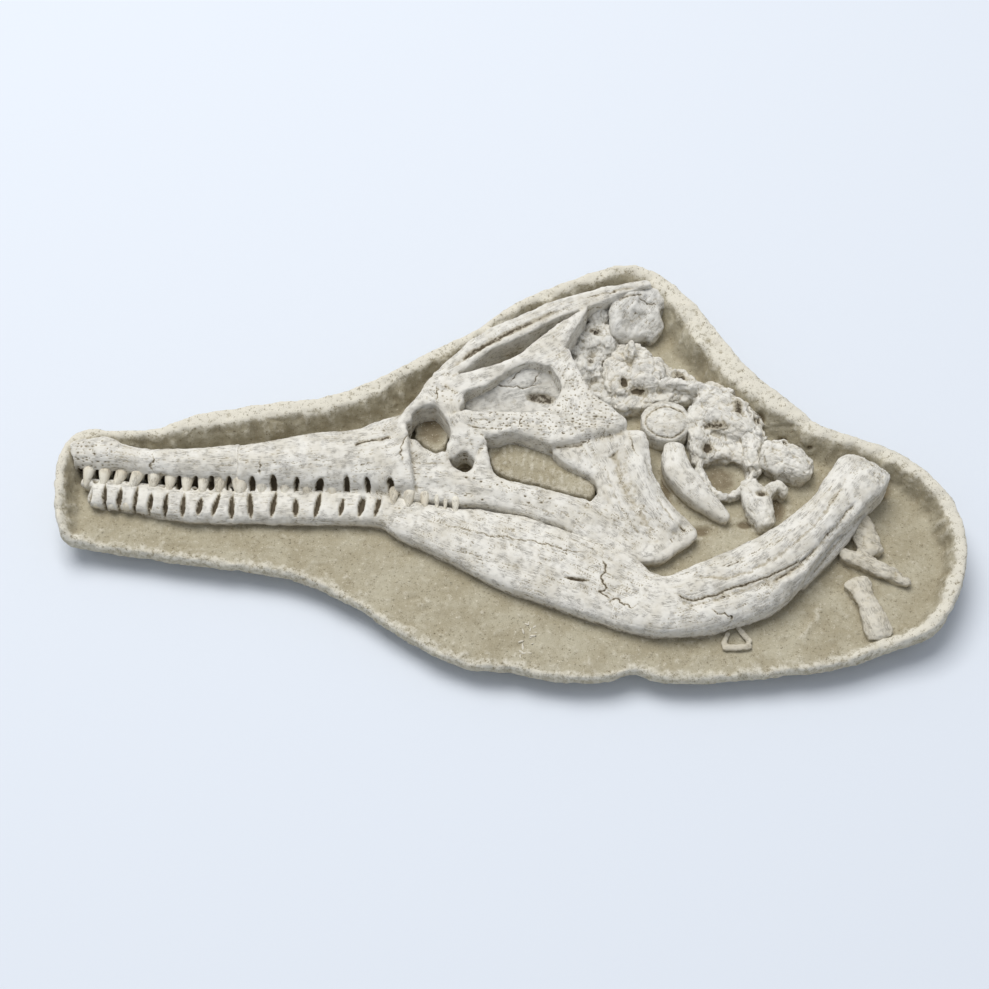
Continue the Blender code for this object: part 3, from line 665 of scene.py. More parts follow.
# Painted shade: the matrix in the eye opening, beside it and in the cheek opening is sunk and darkened.
slab.bowl(-104, 60, 46, 62, 2.5, stain_and_shade=0.7, sharp=4)
slab.bowl(-63, 6, 40, 34, 1.5, stain_and_shade=0.7, sharp=4)
slab.bowl(-20, 20, 30, 16, 0.5, 60, 0.3)
slab.bowl(90, -30, 26, 20, -1.2, sharp=4)
# Painted shade in the deep pits and gaps among the neck bones and round the back of the jaw.
slab.bowls(
    0.7, 3, (347, 40, 12, 9, 5), (380, 28, 8, 7, 4), (218, 140, 22, 18, 4), (318, 72, 16, 22, 4),
    (335, -60, 20, 46, 4), (468, -35, 24, 30, 4), (292, -86, 20, 12, 4), (266, -18, 44, 44, 3),
    (236, -95, 26, 16, 4), (196, -30, 14, 50, 3),
)
slab.bowl(193, -245, 15, 9, -4.5, turn=20, sharp=3)
slab.groove([(345, -255), (362, -228), (380, -200)], 5, -2.4, wander=4)
slab.settle()
high_rim = np.clip((edge_here[:, 2] - 42) / 16, 0.15, 1)
crust = on_rim * high_rim * (0.85 + 0.5 * rough(slab.points, 16, 4, 9.0)) + 0.4 * side * (share > 0.9)
MATRIX = matrix_finish()
slab.put(MATRIX, ["matrix_slab"], extra={"crust": np.clip(crust, 0, 1)}, hollow_shade=0.35)


# Crumbs of sand
# Loose grains and lumps of the same matrix that stayed on the prepared bed and in the low parts of the
# openings. They are held down by the thin glue that was brushed over the bed.


def branching(name, numbers):
    """A Geometry Nodes tree with named numbers and a finish: the tree, what goes in, and its result."""
    tree = bpy.data.node_groups.new(name, "GeometryNodeTree")
    tree.interface.new_socket("Geometry", in_out="INPUT", socket_type="NodeSocketGeometry")
    for label, value in numbers.items():
        kind = "NodeSocketInt" if isinstance(value, int) else "NodeSocketFloat"
        tree.interface.new_socket(label, in_out="INPUT", socket_type=kind).default_value = value
    tree.interface.new_socket("Finish", in_out="INPUT", socket_type="NodeSocketMaterial")
    tree.interface.new_socket("Geometry", in_out="OUTPUT", socket_type="NodeSocketGeometry")
    return tree, tree.nodes.new("NodeGroupInput").outputs, tree.nodes.new("NodeGroupOutput").inputs


def finished(tree, shape, given, result):
    """Gives the shape its finish and sends it out of the tree."""
    coated = add(tree, "GeometryNodeSetMaterial", {"Geometry": shape, "Material": given["Finish"]})
    tree.links.new(coated.outputs[0], result["Geometry"])
    return tree


def scattered():
    """Small lumps strewn over a surface, each turned and sized on its own and half sunk in it."""
    tree, given, result = branching(
        "scattered", {"Count": 900.0, "Smallest": 0.0005, "Largest": 0.002, "Long": 1.0, "Seed": 1}
    )
    spread = add(
        tree, "GeometryNodeDistributePointsOnFaces",
        {"Mesh": given["Geometry"], "Density": given["Count"], "Seed": given["Seed"]},
    )
    lump = add(tree, "GeometryNodeMeshIcoSphere", {"Radius": 1.0, "Subdivisions": 1})
    size = add(tree, "FunctionNodeRandomValue", {2: given["Smallest"], 3: given["Largest"], 8: given["Seed"]})
    turn = add(
        tree, "FunctionNodeRandomValue", {0: (0, 0, 0), 1: (0.4, 0.4, math.tau), 8: given["Seed"]},
        data_type="FLOAT_VECTOR",
    )
    long = times(tree, size.outputs[1], given["Long"])
    flat = times(tree, size.outputs[1], 0.7)
    scale = add(tree, "CombineXYZ", {0: long, 1: size.outputs[1], 2: flat})
    placed = add(
        tree, "GeometryNodeInstanceOnPoints",
        {"Points": spread.outputs["Points"], "Instance": lump.outputs[0], "Rotation": turn.outputs[0],
         "Scale": scale.outputs[0]},
    )
    whole = add(tree, "GeometryNodeRealizeInstances", {0: placed.outputs[0]})
    return finished(tree, whole.outputs[0], given, result)


def grown(name, ground_mesh, tree, numbers, finish):
    """The plain piece that a Geometry Nodes tree makes from a mesh, with these numbers and this finish."""
    piece = stood(name, ground_mesh)
    nodes = piece.modifiers.new(name, "NODES")
    nodes.node_group = tree
    for socket in tree.interface.items_tree:
        if socket.in_out == "INPUT" and socket.name in numbers:
            nodes[socket.identifier] = numbers[socket.name]
        elif socket.in_out == "INPUT" and socket.name == "Finish":
            nodes[socket.identifier] = finish
    piece.data = worked_out(piece)
    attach(piece, "root")
    return piece


SCATTERED = scattered()
level_faces = [
    face.vertices[:] for face in slab.mesh.polygons
    if face.normal.z > 0.8 and (BED - 2) * MM < face.center.z < (BED + 8) * MM
]
bed_mesh = bpy.data.meshes.new("bed")
bed_mesh.from_pydata(metres(slab.points).tolist(), [], level_faces)
crumbs = {"Count": 7000.0, "Smallest": 0.0005, "Largest": 0.0016, "Long": 1.3, "Seed": 3}
grown("crumbs", bed_mesh, SCATTERED, crumbs, MATRIX)


# Bone finish
# Old mineral-filled bone, bleached to a chalky cream, with grey fibre lines, brown in its cracks and painted
# shade, tan and dark, in its hollows and slits. It was cleaned by hand and coated with a clear, dull
# hardener.


def bone_grain():
    """The fibres of bone: thin dark lines along its lie, soft bands of tone, and the height of both."""
    tree, given, result = effect(
        "bone_grain",
        [("Lie", "NodeSocketVector"), ("Place", "NodeSocketVector")],
        [("Lines", "NodeSocketFloat"), ("Bands", "NodeSocketFloat"), ("Height", "NodeSocketFloat")],
    )
    swayed = add(tree, "TexNoise", {"Vector": given[1], "Scale": 60.0, "Detail": 2.0}).outputs[1]
    sway = add(tree, "VectorMath", {0: swayed, 1: (0.5, 0.5, 0.5)}, operation="MULTIPLY").outputs[0]
    lie = add(tree, "VectorMath", {0: given[0], 1: sway}, operation="ADD").outputs[0]
    long = add(tree, "VectorMath", {0: lie, 1: (0.16, 2.2, 1.1)}, operation="MULTIPLY").outputs[0]
    lines = clouds(tree, long, 2.4, 6.0, 0.66)
    thin = maths(tree, "ABSOLUTE", maths(tree, "SUBTRACT", lines, 0.5))
    thin = stepped(tree, thin, 0.045, 0.0)
    thin = times(tree, thin, stepped(tree, clouds(tree, given[1], 95.0, 3.0), 0.42, 0.62))
    fine = clouds(tree, given[1], 520.0, 3.0)
    tree.links.new(thin, result[0])
    tree.links.new(clouds(tree, long, 0.55, 4.0, 0.6), result[1])
    height = maths(tree, "SUBTRACT", maths(tree, "ADD", lines, times(tree, fine, 0.35)), thin)
    tree.links.new(height, result[2])
    return tree


BONE_GRAIN = bone_grain()


def bone_finish(name, clean, aged, tan, dark, lines=0.5):
    """Chalky fossil bone: its clean and aged tones, the tan of stains and of painted shade in hollows, and
    the dark of cracks and of painted shade in slits.
    """
    finish, tree, shader = new_finish(name, 0.8, 0.25)
    place = add(tree, "TexCoord").outputs["Object"]
    grain = add(tree, "Group", node_tree=BONE_GRAIN)
    tree.links.new(marked(tree, "lie", "Vector"), grain.inputs["Lie"])
    tree.links.new(place, grain.inputs["Place"])
    stain_and_shade, worn, low = (marked(tree, label) for label in ("stain_and_shade", "worn", "low"))
    patches = clouds(tree, place, 30.0, 5.0, 0.65)
    colour = mixed(tree, stepped(tree, patches, 0.38, 0.66), clean, aged)
    colour = mixed(tree, times(tree, stepped(tree, grain.outputs[1], 0.48, 0.75), 0.3), colour, tan)
    colour = mixed(tree, times(tree, grain.outputs[0], lines), colour, dark)
    colour = mixed(tree, times(tree, worn, 0.5), colour, clean)
    darkening = maths(tree, "ADD", stain_and_shade, times(tree, maths(tree, "SUBTRACT", patches, 0.5), 0.35))
    # Stains and painted shade: hollows, slits and deep pits go tan, and the darkest of them dark.
    colour = mixed(tree, times(tree, stepped(tree, darkening, 0.12, 0.6), 0.8), colour, tan)
    colour = mixed(tree, stepped(tree, darkening, 0.5, 1.0), colour, dark)
    colour = mixed(tree, times(tree, low, 0.75), colour, tan)
    tree.links.new(colour, shader.inputs["Base Color"])
    bump = add(tree, "Bump", {"Strength": 0.5, "Distance": 0.0012, "Height": grain.outputs[2]})
    tree.links.new(bump.outputs[0], shader.inputs["Normal"])
    return finish


BONE = bone_finish(
    "bone", tone(231, 228, 219), tone(212, 207, 194), tone(176, 166, 143), tone(88, 78, 62), lines=0.6
)
GREY_BONE = bone_finish(
    "grey_bone", tone(226, 224, 217), tone(206, 203, 194), tone(170, 162, 144), tone(84, 76, 64), lines=0.5
)
BONE_GRID = 1.25
BONE_FACE = 1.45

# Skull
# Snout behind its break, skull roof, temporal bars, cheek and jaw joint: one crushed but joined mass of bone,
# lying on the bed with its near side up. The matrix was cleaned out of its openings.

# Where a dark slit parts two upper teeth: x of each, from the front
UPPER_SLITS = [
    -543, -524, -503, -482, -461, -440, -419, -398, -378, -356, -326, -299, -270, -241, -207, -181, -152,
]
TIP_SLITS = 10  # how many of them lie in the broken tip
FINE_WEAR = (6, 0.25, 3)  # size, height and octaves of the finest unevenness of bone
skull = Heights(BONE_GRID)
skull.bar([
    (-346, -2, 64, 28, 28), (-300, 0, 65, 33, 30), (-260, 4, 66, 39, 31), (-220, 6, 67, 42, 31),
    (-190, 8, 68, 45, 31), (-160, 13, 70, 53, 30), (-128, 18, 72, 60, 26),
], roll=2.5, square=2.2)
skull.plate([
    (-146, 66, 96), (-128, 70, 95), (-126, 82, 96), (-115, 92, 97), (-98, 95, 98), (-88, 82, 97),
    (-70, 84, 97), (-62, 98, 98), (-63, 110, 98), (-84, 124, 97), (-96, 136, 95), (-109, 134, 92),
    (-119, 114, 94), (-132, 94, 95), (-142, 80, 95),
])
skull.plate([
    (-84, 28, 86), (-76, 15, 84), (-60, 25, 84), (-47, 13, 82), (-40, 26, 84), (-30, 40, 88),
    (-40, 52, 92), (-47, 66, 95), (-50, 86, 97), (-60, 88, 97), (-70, 84, 97), (-88, 82, 96),
    (-80, 66, 94), (-78, 50, 90),
])
skull.plate([
    (-40, 52, 93), (-22, 46, 93), (0, 52, 94), (30, 43, 94), (52, 35, 94), (76, 39, 95), (100, 48, 96),
    (135, 58, 97), (147, 72, 97), (126, 93, 100), (104, 115, 102), (91, 142, 104), (82, 162, 105),
    (74, 186, 106), (58, 172, 105), (50, 157, 103), (62, 130, 101), (60, 110, 99), (38, 88, 98),
    (0, 86, 98), (-50, 86, 97), (-48, 64, 95),
])
skull.plate([
    (-84, 124, 97), (-63, 108, 98), (-56, 116, 99), (-30, 127, 101), (0, 151, 103), (26, 161, 104),
    (50, 157, 104), (66, 176, 106), (78, 206, 106), (89, 226, 105), (101, 251, 103), (86, 242, 103),
    (60, 224, 104), (30, 197, 105), (10, 176, 105), (-15, 162, 104), (-50, 149, 101), (-72, 142, 98),
], edge=6.0)
skull.bar([
    (-100, 130, 84, 8, 10), (-72, 155, 86, 12, 12), (-44, 182, 88, 14, 12), (-10, 207, 90, 14, 12),
    (30, 227, 92, 13, 12), (65, 245, 92, 12, 12), (105, 263, 90, 11, 12), (145, 277, 88, 8, 11),
    (186, 288, 84, 4, 9),
])
skull.plate([
    (-109, 132, 92), (-84, 124, 95), (-72, 141, 97), (-53, 156, 98), (-30, 178, 99), (-5, 192, 100),
    (20, 206, 100), (45, 223, 100), (80, 242, 101), (118, 257, 100), (150, 273, 98), (188, 290, 95),
    (160, 290, 96), (130, 287, 98), (100, 277, 99), (50, 259, 99), (20, 242, 98), (-30, 214, 97),
    (-55, 197, 96), (-75, 172, 94), (-90, 150, 92),
], edge=5.0, crown=1.0)
skull.bar([(-338, -40, 58, 8, 9), (-250, -43, 58, 8, 10), (-190, -45, 58, 8, 10), (-140, -51, 58, 8, 11)])
skull.plate([
    (-140, -42, 74), (-100, -48, 74), (-60, -54, 74), (-20, -56, 74), (20, -70, 74), (60, -84, 73),
    (73, -90, 72), (97, -50, 74), (65, -38, 76), (30, -26, 77), (-5, -17, 78), (-23, -4, 80),
    (-30, 25, 84), (-33, 36, 86), (-42, 24, 84), (-48, 10, 82), (-51, 0, 80), (-60, -6, 79), (-72, 2, 80),
    (-79, 12, 82), (-85, 26, 85), (-96, 23, 84), (-111, 32, 86), (-124, 44, 90), (-142, 34, 92),
])
skull.plate([
    (60, 12, 80), (88, -6, 78), (103, -18, 77), (107, -36, 76), (98, -48, 74), (73, -91, 72),
    (106, -111, 68), (131, -129, 66), (160, -137, 64), (185, -136, 62), (206, -121, 62), (227, -104, 62),
    (228, -88, 64), (198, -52, 70), (184, -22, 76), (177, 0, 80), (172, 44, 86), (166, 57, 86),
    (140, 56, 86), (100, 46, 85), (52, 32, 84),
])
skull.bar([(156, 44, 80, 13, 12), (157, 0, 76, 14, 12), (172, -50, 68, 16, 13), (205, -96, 60, 16, 12)])
skull.blend(2)

FIBRES = [
    [(-350, 0), (-250, 6), (-150, 20), (-100, 60)],
    [(-150, -20), (-90, -25), (-20, -36), (60, -62), (110, -95), (160, -125)],
    [(-60, 100), (-50, 72), (0, 70), (60, 66), (140, 66)],
    [(-90, 120), (-40, 140), (20, 172), (70, 205), (90, 240)],
    [(-100, 132), (-60, 162), (0, 208), (80, 250), (180, 286)],
    [(120, 50), (140, 0), (160, -50), (200, -110)],
    [(90, 150), (80, 110), (70, 60)],
]
roof = Carving("skull", skull.shell(), BONE_FACE)
roof.weather(22, 1.0, 4, 1.0)
roof.undercut(3.0)
roof.grooves(
    (9, -1.0, 0, (-345, 6), (-300, 12), (-255, 20), (-200, 30)),
    (2.6, 2.2, 0.4, (-200, 32), (-176, 39), (-150, 45)),
    (8, -1.6, 0, (-160, -20), (-120, -22), (-80, -20), (-30, -34), (20, -46), (70, -62), (120, -84)),
    (9.0, 4.5, 0.12, (125, 20), (131, 10), (140, -30), (158, -68), (182, -115)),
    (6.0, -2.2, 0, (160, 20), (166, -20), (188, -70), (212, -96)),
    (3.0, 1.6, 0.25, (176, -40), (196, -74), (216, -98)),
    (3.0, 1.2, 0.1, (118, 0), (126, -36), (140, -70), (160, -104)),
    (5, -1.2, 0, (-88, 122), (-60, 138), (-30, 147), (10, 165), (48, 180), (80, 220)),
    (5.5, 3.0, 0.5, (-70, 160), (-40, 184), (-10, 203), (30, 227), (70, 247)),
    (2.5, -1.2, 0, (-90, 142), (-60, 158), (-30, 184), (-5, 200), (45, 230)),
    (3.5, 1.6, 0.2, (60, 252), (100, 266), (140, 277), (172, 284)),
    (6, -1.6, 0, (-44, 50), (-20, 52), (5, 58), (40, 54), (90, 56), (135, 66)),
    (2.0, 1.0, 0.2, (-60, 64), (-30, 56), (0, 60)),
)
roof.settle()
roof.pits([
    (-40, 55), (0, 56), (40, 50), (80, 44), (130, 60), (140, 72), (104, 112), (84, 150), (62, 160),
    (66, 130), (62, 104), (38, 84), (0, 82), (-44, 82),
], 5.4, 1.0, 1.15, 11, stain_and_shade=0.5)
roof.pits([
    (-120, 100), (-95, 98), (-66, 96), (-62, 108), (-84, 126), (-100, 132),
], 6.0, 1.1, 0.8, 12, stain_and_shade=0.4)
roof.pits([(-60, -8), (-20, -20), (60, -50), (60, -70), (0, -56), (-60, -46)], 13, 1.3, 1.0, 13, stain_and_shade=0.6)
roof.cracks(
    (0.7, (-315, 15), (-317, 4), (-313, -4), (-316, -12)),
    (0.5, (-96, 96), (-94, 110), (-100, 130)),
    (0.5, (15, 84), (12, 70), (14, 56)),
    (0.5, (-126, 60), (-134, 40), (-140, 20), (-132, 2)),
    (0.4, (146, 54), (150, 30), (160, 10)),
)
draw = random.Random(21)
# Painted shade in the slits between the upper teeth: each is sunk and darkened.
for x in UPPER_SLITS[TIP_SLITS:]:
    long, lean = draw.uniform(20, 31), draw.uniform(-14, 6)
    roof.bowl(x, -29 + draw.uniform(-2, 4), draw.uniform(6.5, 9.5), long, draw.uniform(8, 11), lean, 0.9, 4)
roof.settle()
roof.weather(*FINE_WEAR, 6.0)
roof.fibres(FIBRES, 0.5, 1.0)
roof.settle()
roof.put(
    BONE,
    ["snout", "frontal", "postorbital", "squamosal", "parietal", "far_temporal_bar", "jugal", "quadrate"],
    grain=FIBRES,
)

# Snout tip
# The front of the upper jaw, broken off behind its tenth tooth and set a little lower, with a sunken lip. It
# lies in the matrix just as it was found.

tip = Heights(BONE_GRID)
tip.bar([
    (-560, 14, 60, 12, 18), (-553, 15, 60, 20, 25), (-535, 13, 62, 23, 28), (-515, 13, 63, 25, 30),
    (-495, 8, 63, 19, 28), (-460, 0, 63, 19, 28), (-400, -2, 64, 23, 28), (-341, 0, 64, 28, 28),
], roll=3.0, square=2.1)
tip.bar([(-545, -24, 57, 7, 7), (-500, -29, 57, 7, 7), (-440, -35, 57, 7, 7), (-350, -39, 58, 7, 7)])
front = Carving("tip_of_snout", tip.shell(), BONE_FACE)
front.weather(15, 0.8, 4, 2.0)
front.undercut(3.0)
front.grooves((6, 3.5, 0.35, (-450, -12), (-425, -22), (-395, -24), (-360, -18)))
# A deep hollow at the front of the tip, sunk and darkened with painted shade.
front.bowl(-549, -12, 12, 14, 7, stain_and_shade=1.0, sharp=3)
front.settle()
front.pits([
    (-560, 0), (-530, -6), (-500, 0), (-500, 40), (-530, 42), (-560, 30),
], 7, 1.3, 1.0, 21, stain_and_shade=0.4)
front.cracks((0.5, (-453, 24), (-449, 10), (-455, -2), (-452, -12)))
# Painted shade in the slits between the front upper teeth: each is sunk and darkened.
for x in UPPER_SLITS[:TIP_SLITS]:
    front.bowl(x, np.interp(x, (-540, -440), (-14, -25)), 7, 18, 8, turn=-6, stain_and_shade=1.0, sharp=4)
front.settle()
front.weather(*FINE_WEAR, 7.0)
TIP_LIE = [[(-560, 14), (-500, 10), (-450, 0), (-347, 0)]]
front.fibres(TIP_LIE, 0.45, 2.0)
front.settle()
front.put(BONE, ["snout_tip"], grain=TIP_LIE)

# Inner wall of the skull
# The thin side wall of the braincase, in greyer bone. It is joined to the roof above it, and shows low inside
# the near upper opening where the matrix was picked out.

wall = Heights(BONE_GRID)
wall.plate([
    (-64, 106, 72), (-52, 84, 70), (0, 82, 66), (40, 84, 64), (60, 98, 66), (66, 112, 70), (66, 132, 76),
    (52, 160, 84), (25, 164, 86), (0, 154, 86), (-30, 130, 82), (-60, 118, 76),
], edge=3.0)
inner = Carving("inner_wall", wall.shell(), BONE_FACE)
inner.weather(12, 1.0, 4, 3.0)
inner.cracks(
    (0.6, (-40, 118), (-10, 124), (14, 120), (40, 128)),
    (0.5, (-8, 124), (4, 136), (12, 152)),
    (0.5, (24, 122), (34, 140), (40, 150)),
)
# A hollow in the wall, sunk and darkened with painted shade.
inner.bowl(38, 105, 40, 16, 4, turn=-8, stain_and_shade=0.6, sharp=4)
inner.settle()
inner.put(GREY_BONE, ["braincase_wall"], grain=[[(-60, 105), (0, 125), (50, 150)]])

# Back of the skull
# Knobs and hollows of the braincase, and the worn dome of the far jaw joint, in greyer bone. They were
# crushed against the neck and stay bedded in the matrix.

BLOCK_SIZE = 15.0  # of the blocks that crushed bone breaks into

knobs = Heights(BONE_GRID)
knobs.knob(115, 200, 58, 50, 60, 16, 80)
knobs.knob(100, 150, 58, 42, 52, 16, 100)
knobs.knob(116, 238, 62, 34, 34, 22)
knobs.knob(127, 186, 60, 24, 24, 20)
knobs.plate([
    (84, 214, 60), (80, 180, 60), (86, 140, 60), (104, 112, 60), (126, 96, 60), (150, 84, 60),
    (160, 104, 60), (140, 150, 60), (146, 190, 60), (140, 230, 58), (118, 256, 58), (98, 240, 60),
])
knobs.blend(3)
back = Carving("back_of_skull", knobs.shell(), BONE_FACE)
back.weather(13, 3.0, 5, 4.0)
back.undercut(2.0)
back.settle()
back.crush(BLOCK_SIZE, 2.6, 0.5, 4.0)
# Hollows of the braincase, sunk and darkened with painted shade.
back.bowls(0.85, 2, (112, 214, 16, 12, 7), (140, 214, 10, 22, 6), (104, 166, 10, 14, 5), (122, 160, 8, 12, 5))
back.settle()
back.put(GREY_BONE, ["occiput"], grain=[[(100, 140), (110, 200), (118, 250)]], hollow_shade=0.6)

dome = Heights(BONE_GRID)
dome.plate([
    (134, 210, 80), (150, 200, 74), (176, 208, 68), (188, 204, 66), (203, 226, 68), (198, 246, 72),
    (208, 262, 74), (198, 282, 80), (182, 289, 88), (150, 279, 91), (134, 264, 90), (129, 236, 88),
], edge=9.0, crown=4.0)
dome.blend(4)
far_joint = Carving("far_joint", dome.shell(), BONE_FACE)
far_joint.weather(22, 2.2, 4, 5.0)
far_joint.grooves((8, -1.4, 0, (146, 268), (164, 252), (182, 244), (200, 242)))
far_joint.cracks((0.4, (164, 276), (170, 262), (182, 256), (200, 262)))
far_joint.undercut(2.0)
far_joint.grooves((2.5, 1.5, 0.4, (140, 262), (155, 268), (175, 272)))
far_joint.settle()
far_joint.weather(7, 0.35, 4, 5.6)
FAR_JOINT_LIE = [[(140, 215), (165, 245), (190, 280)]]
far_joint.fibres(FAR_JOINT_LIE, 0.45, 3.0)
far_joint.settle()
far_joint.put(GREY_BONE, ["far_condyle"], grain=FAR_JOINT_LIE)

# Lower jaw
# The near branch in one sweep: its toothed front, the deep part under the cheek, and the long process behind
# the joint. The far branch shows as a strip beyond it. Both lie half sunk in the bed.

# Where a dark slit parts two lower teeth: x of each, from the front
LOWER_SLITS = [
    -531, -511, -492, -472, -453, -433, -411, -390, -370, -350, -327, -298, -270, -243, -213, -188, -168,
]
jaw = Heights(BONE_GRID)
jaw.bar([
    (-534, -44, 50, 10, 9), (-524, -44, 53, 17, 14), (-480, -47, 54, 19, 15), (-440, -54, 55, 20, 15),
    (-400, -60, 55, 21, 15), (-300, -61, 55, 22, 15), (-171, -63, 55, 23, 15), (-130, -80, 57, 27, 16),
    (-90, -94, 58, 33, 17), (-50, -107, 58, 42, 18), (0, -125, 58, 51, 18), (50, -145, 58, 52, 18),
    (110, -169, 58, 52, 18), (150, -193, 58, 43, 18), (190, -201, 60, 39, 20), (240, -188, 62, 45, 22),
    (300, -160, 66, 46, 26), (345, -120, 72, 34, 28), (368, -92, 76, 28, 27), (394, -66, 80, 28, 25),
    (416, -38, 82, 32, 22), (436, -14, 82, 35, 20), (448, 2, 78, 30, 14),
], roll=5.0, square=2.4)
JAW_LIE = [[
    (-534, -44), (-400, -60), (-171, -63), (-50, -107), (50, -145), (150, -193), (190, -201), (240, -188),
    (300, -160), (345, -120), (394, -66), (448, 2),
]]
branch = Carving("near_jaw", jaw.shell(), BONE_FACE)
branch.weather(24, 1.1, 4, 8.0)
branch.undercut(3.0)
branch.grooves(
    (9, -3.0, 0, (195, -168), (260, -163), (320, -128), (365, -92), (410, -40), (430, -8)),
    (7.0, 3.4, 0.1, (195, -186), (222, -194), (262, -180), (302, -165), (367, -132)),
    (1.6, 1.8, 0.45, (195, -181), (220, -189), (260, -175), (300, -160), (365, -128)),
    (6, -3.0, 0, (300, -185), (350, -150), (395, -100), (440, -50)),
    (4, 2.6, 0.2, (310, -168), (352, -138), (392, -92), (428, -46)),
    (4, -2.2, 0, (212, -144), (255, -149), (290, -133), (322, -115), (348, -92), (376, -58), (402, -22),
     (420, 4)),
    (4, 2.4, 0.2, (218, -158), (260, -160), (296, -146), (330, -122), (358, -96), (388, -58), (412, -20)),
    (4, -1.2, 0, (-520, -74), (-440, -80), (-300, -84), (-180, -86)),
    (6, -1.8, 0, (30, -96), (60, -112), (100, -128), (130, -150)),
    (9, 1.5, 0.05, (-60, -120), (0, -142), (60, -166), (110, -186)),
    (5, 1.5, 0, (250, -150), (300, -123), (350, -78), (385, -40), (408, -8)),
)
branch.settle()
branch.crack([(-100, -80), (-60, -92), (-12, -104), (30, -110), (70, -122), (108, -128)], 1.2, 0.9, 0.35)
branch.crack([(110, -125), (113, -150), (107, -160), (112, -172), (104, -180), (120, -195)], 1.3, 1.6)
branch.crack([(240, -200), (246, -207), (254, -208), (258, -216), (262, -214), (260, -228)], 1.3, 1.6)
branch.cracks((0.5, (112, -196), (126, -192), (140, -200), (150, -198)))
# A narrow slot in the jaw, sunk and darkened with painted shade.
branch.bowl(78, -162, 26, 5, 4, turn=-8, stain_and_shade=0.9, sharp=3)
# Painted shade in the slits between the lower teeth: each is sunk and darkened.
for x in LOWER_SLITS:
    y = np.interp(x, (-530, -400), (-46, -59)) + draw.uniform(-3, 3)
    wide, long, down = draw.uniform(5.5, 8.5), draw.uniform(22, 36), draw.uniform(6, 9)
    branch.bowl(x, y, wide, long, down, draw.uniform(-14, 5), 0.9, 4)
branch.settle()
end_crust = np.clip((branch.plan[:, 0] - 425) / 16, 0, 1) * np.clip((branch.plan[:, 1] + 40) / 20, 0, 1)
branch.offset += 2.2 * rough(branch.points, 11, 5, 9.4) * end_crust
branch.weather(*FINE_WEAR, 9.0)
branch.fibres(JAW_LIE, 0.5, 4.0)
branch.settle()
branch.put(BONE, ["jaw_front", "jaw_middle", "jaw_rear"], grain=JAW_LIE)

strip = Heights(BONE_GRID)
strip.bar([
    (348, -172, 54, 10, 10), (375, -140, 56, 12, 12), (399, -113, 58, 12, 12), (420, -86, 60, 11, 12),
    (442, -60, 60, 8, 10),
])
far_branch = Carving("far_jaw", strip.shell(), BONE_FACE)
far_branch.weather(14, 0.8, 4, 10.0)
far_branch.undercut(2.0)
far_branch.grooves(
    (4, -1.6, 0, (352, -170), (380, -132), (410, -96), (436, -60)),
    (2.5, 1.4, 0.3, (360, -166), (390, -124), (420, -88), (440, -62)),
)
FAR_JAW_LIE = [[(348, -172), (399, -113), (442, -60)]]
far_branch.fibres(FAR_JAW_LIE, 0.5, 5.0)
far_branch.settle()
far_branch.put(BONE, ["jaw_far_strip"], grain=FAR_JAW_LIE)

# Palate blade and neck
# A smooth blade of bone behind the jaw joint, and the first neck vertebrae, broken into crusty blocks. The
# blocks were left where they lay, with matrix between them.

blade = Heights(BONE_GRID)
blade.bar([
    (208, 36, 62, 12, 8), (207, 4, 66, 18, 11), (226, -30, 64, 17, 11), (250, -58, 58, 13, 10),
    (271, -82, 52, 6, 8),
])
wing = Carving("palate_blade", blade.shell(), BONE_FACE)
wing.weather(18, 0.9, 4, 11.0)
BLADE_LIE = [[(208, 36), (207, 4), (226, -30), (271, -82)]]
wing.fibres(BLADE_LIE, 0.35, 6.0)
wing.undercut(2.5)
wing.settle()
wing.put(BONE, ["pterygoid_blade"], grain=BLADE_LIE)


def broken_bone(name, seed, coarse, bars, grain, plates=(), hollows=(), finish=BONE, roll=6.0):
    """A broken block of bone, rough all over, made up of bars and plates."""
    form = Heights(BONE_GRID)
    for stations in bars:
        form.bar(stations, roll=roll)
    for points in plates:
        form.plate(points)
    form.blend(2)
    block = Carving(name + "_bone", form.shell(), BONE_FACE)
    block.weather(14, coarse, 5, seed)
    block.undercut(2.0)
    block.settle()
    block.crush(BLOCK_SIZE, 1.2 * coarse, 0.3 * coarse, seed)
    block.weather(5, 0.5, 4, seed + 0.5)
    # The listed hollows are sunk and darkened with painted shade.
    block.bowls(0.85, 2, *hollows)
    block.settle()
    block.put(finish, [name], grain=[grain], hollow_shade=0.55)


broken_bone(
    "neck_front", 12.0, 2.6,
    [
        [(132, 168, 64, 12, 12), (138, 140, 66, 18, 14), (142, 106, 64, 14, 12)],
        [(156, 148, 66, 20, 16), (178, 140, 68, 26, 18), (200, 132, 64, 16, 14)],
        [(158, 190, 66, 5, 16), (157, 176, 66, 7, 16), (156, 160, 64, 9, 14)],
    ],
    [(130, 110), (160, 150), (200, 150)],
    [[
        (128, 100, 66), (160, 90, 66), (196, 100, 66), (238, 106, 66), (250, 126, 64), (232, 150, 62),
        (205, 162, 62), (172, 194, 62), (150, 196, 64), (130, 180, 66),
    ]],
    [(164, 116, 26, 12, 4), (219, 140, 18, 16, 8), (146, 130, 12, 18, 5)],
)

disc = Heights(BONE_GRID)
disc.knob(198, 68, 66, 66, 62, 14)
face = Carving("vertebra_face", disc.shell(), BONE_FACE)
face.crush(9.0, 0.5, 0.3, 13.0)
face.weather(9, 0.9, 4, 13.0)
turns = np.linspace(0, 2 * math.pi, 13)
face.groove([(198 + 27 * math.cos(turn), 68 + 24 * math.sin(turn)) for turn in turns], 2.2, 1.6, 0.4)
face.settle()
face.put(BONE, ["centrum"], grain=[[(165, 68), (230, 68)]])

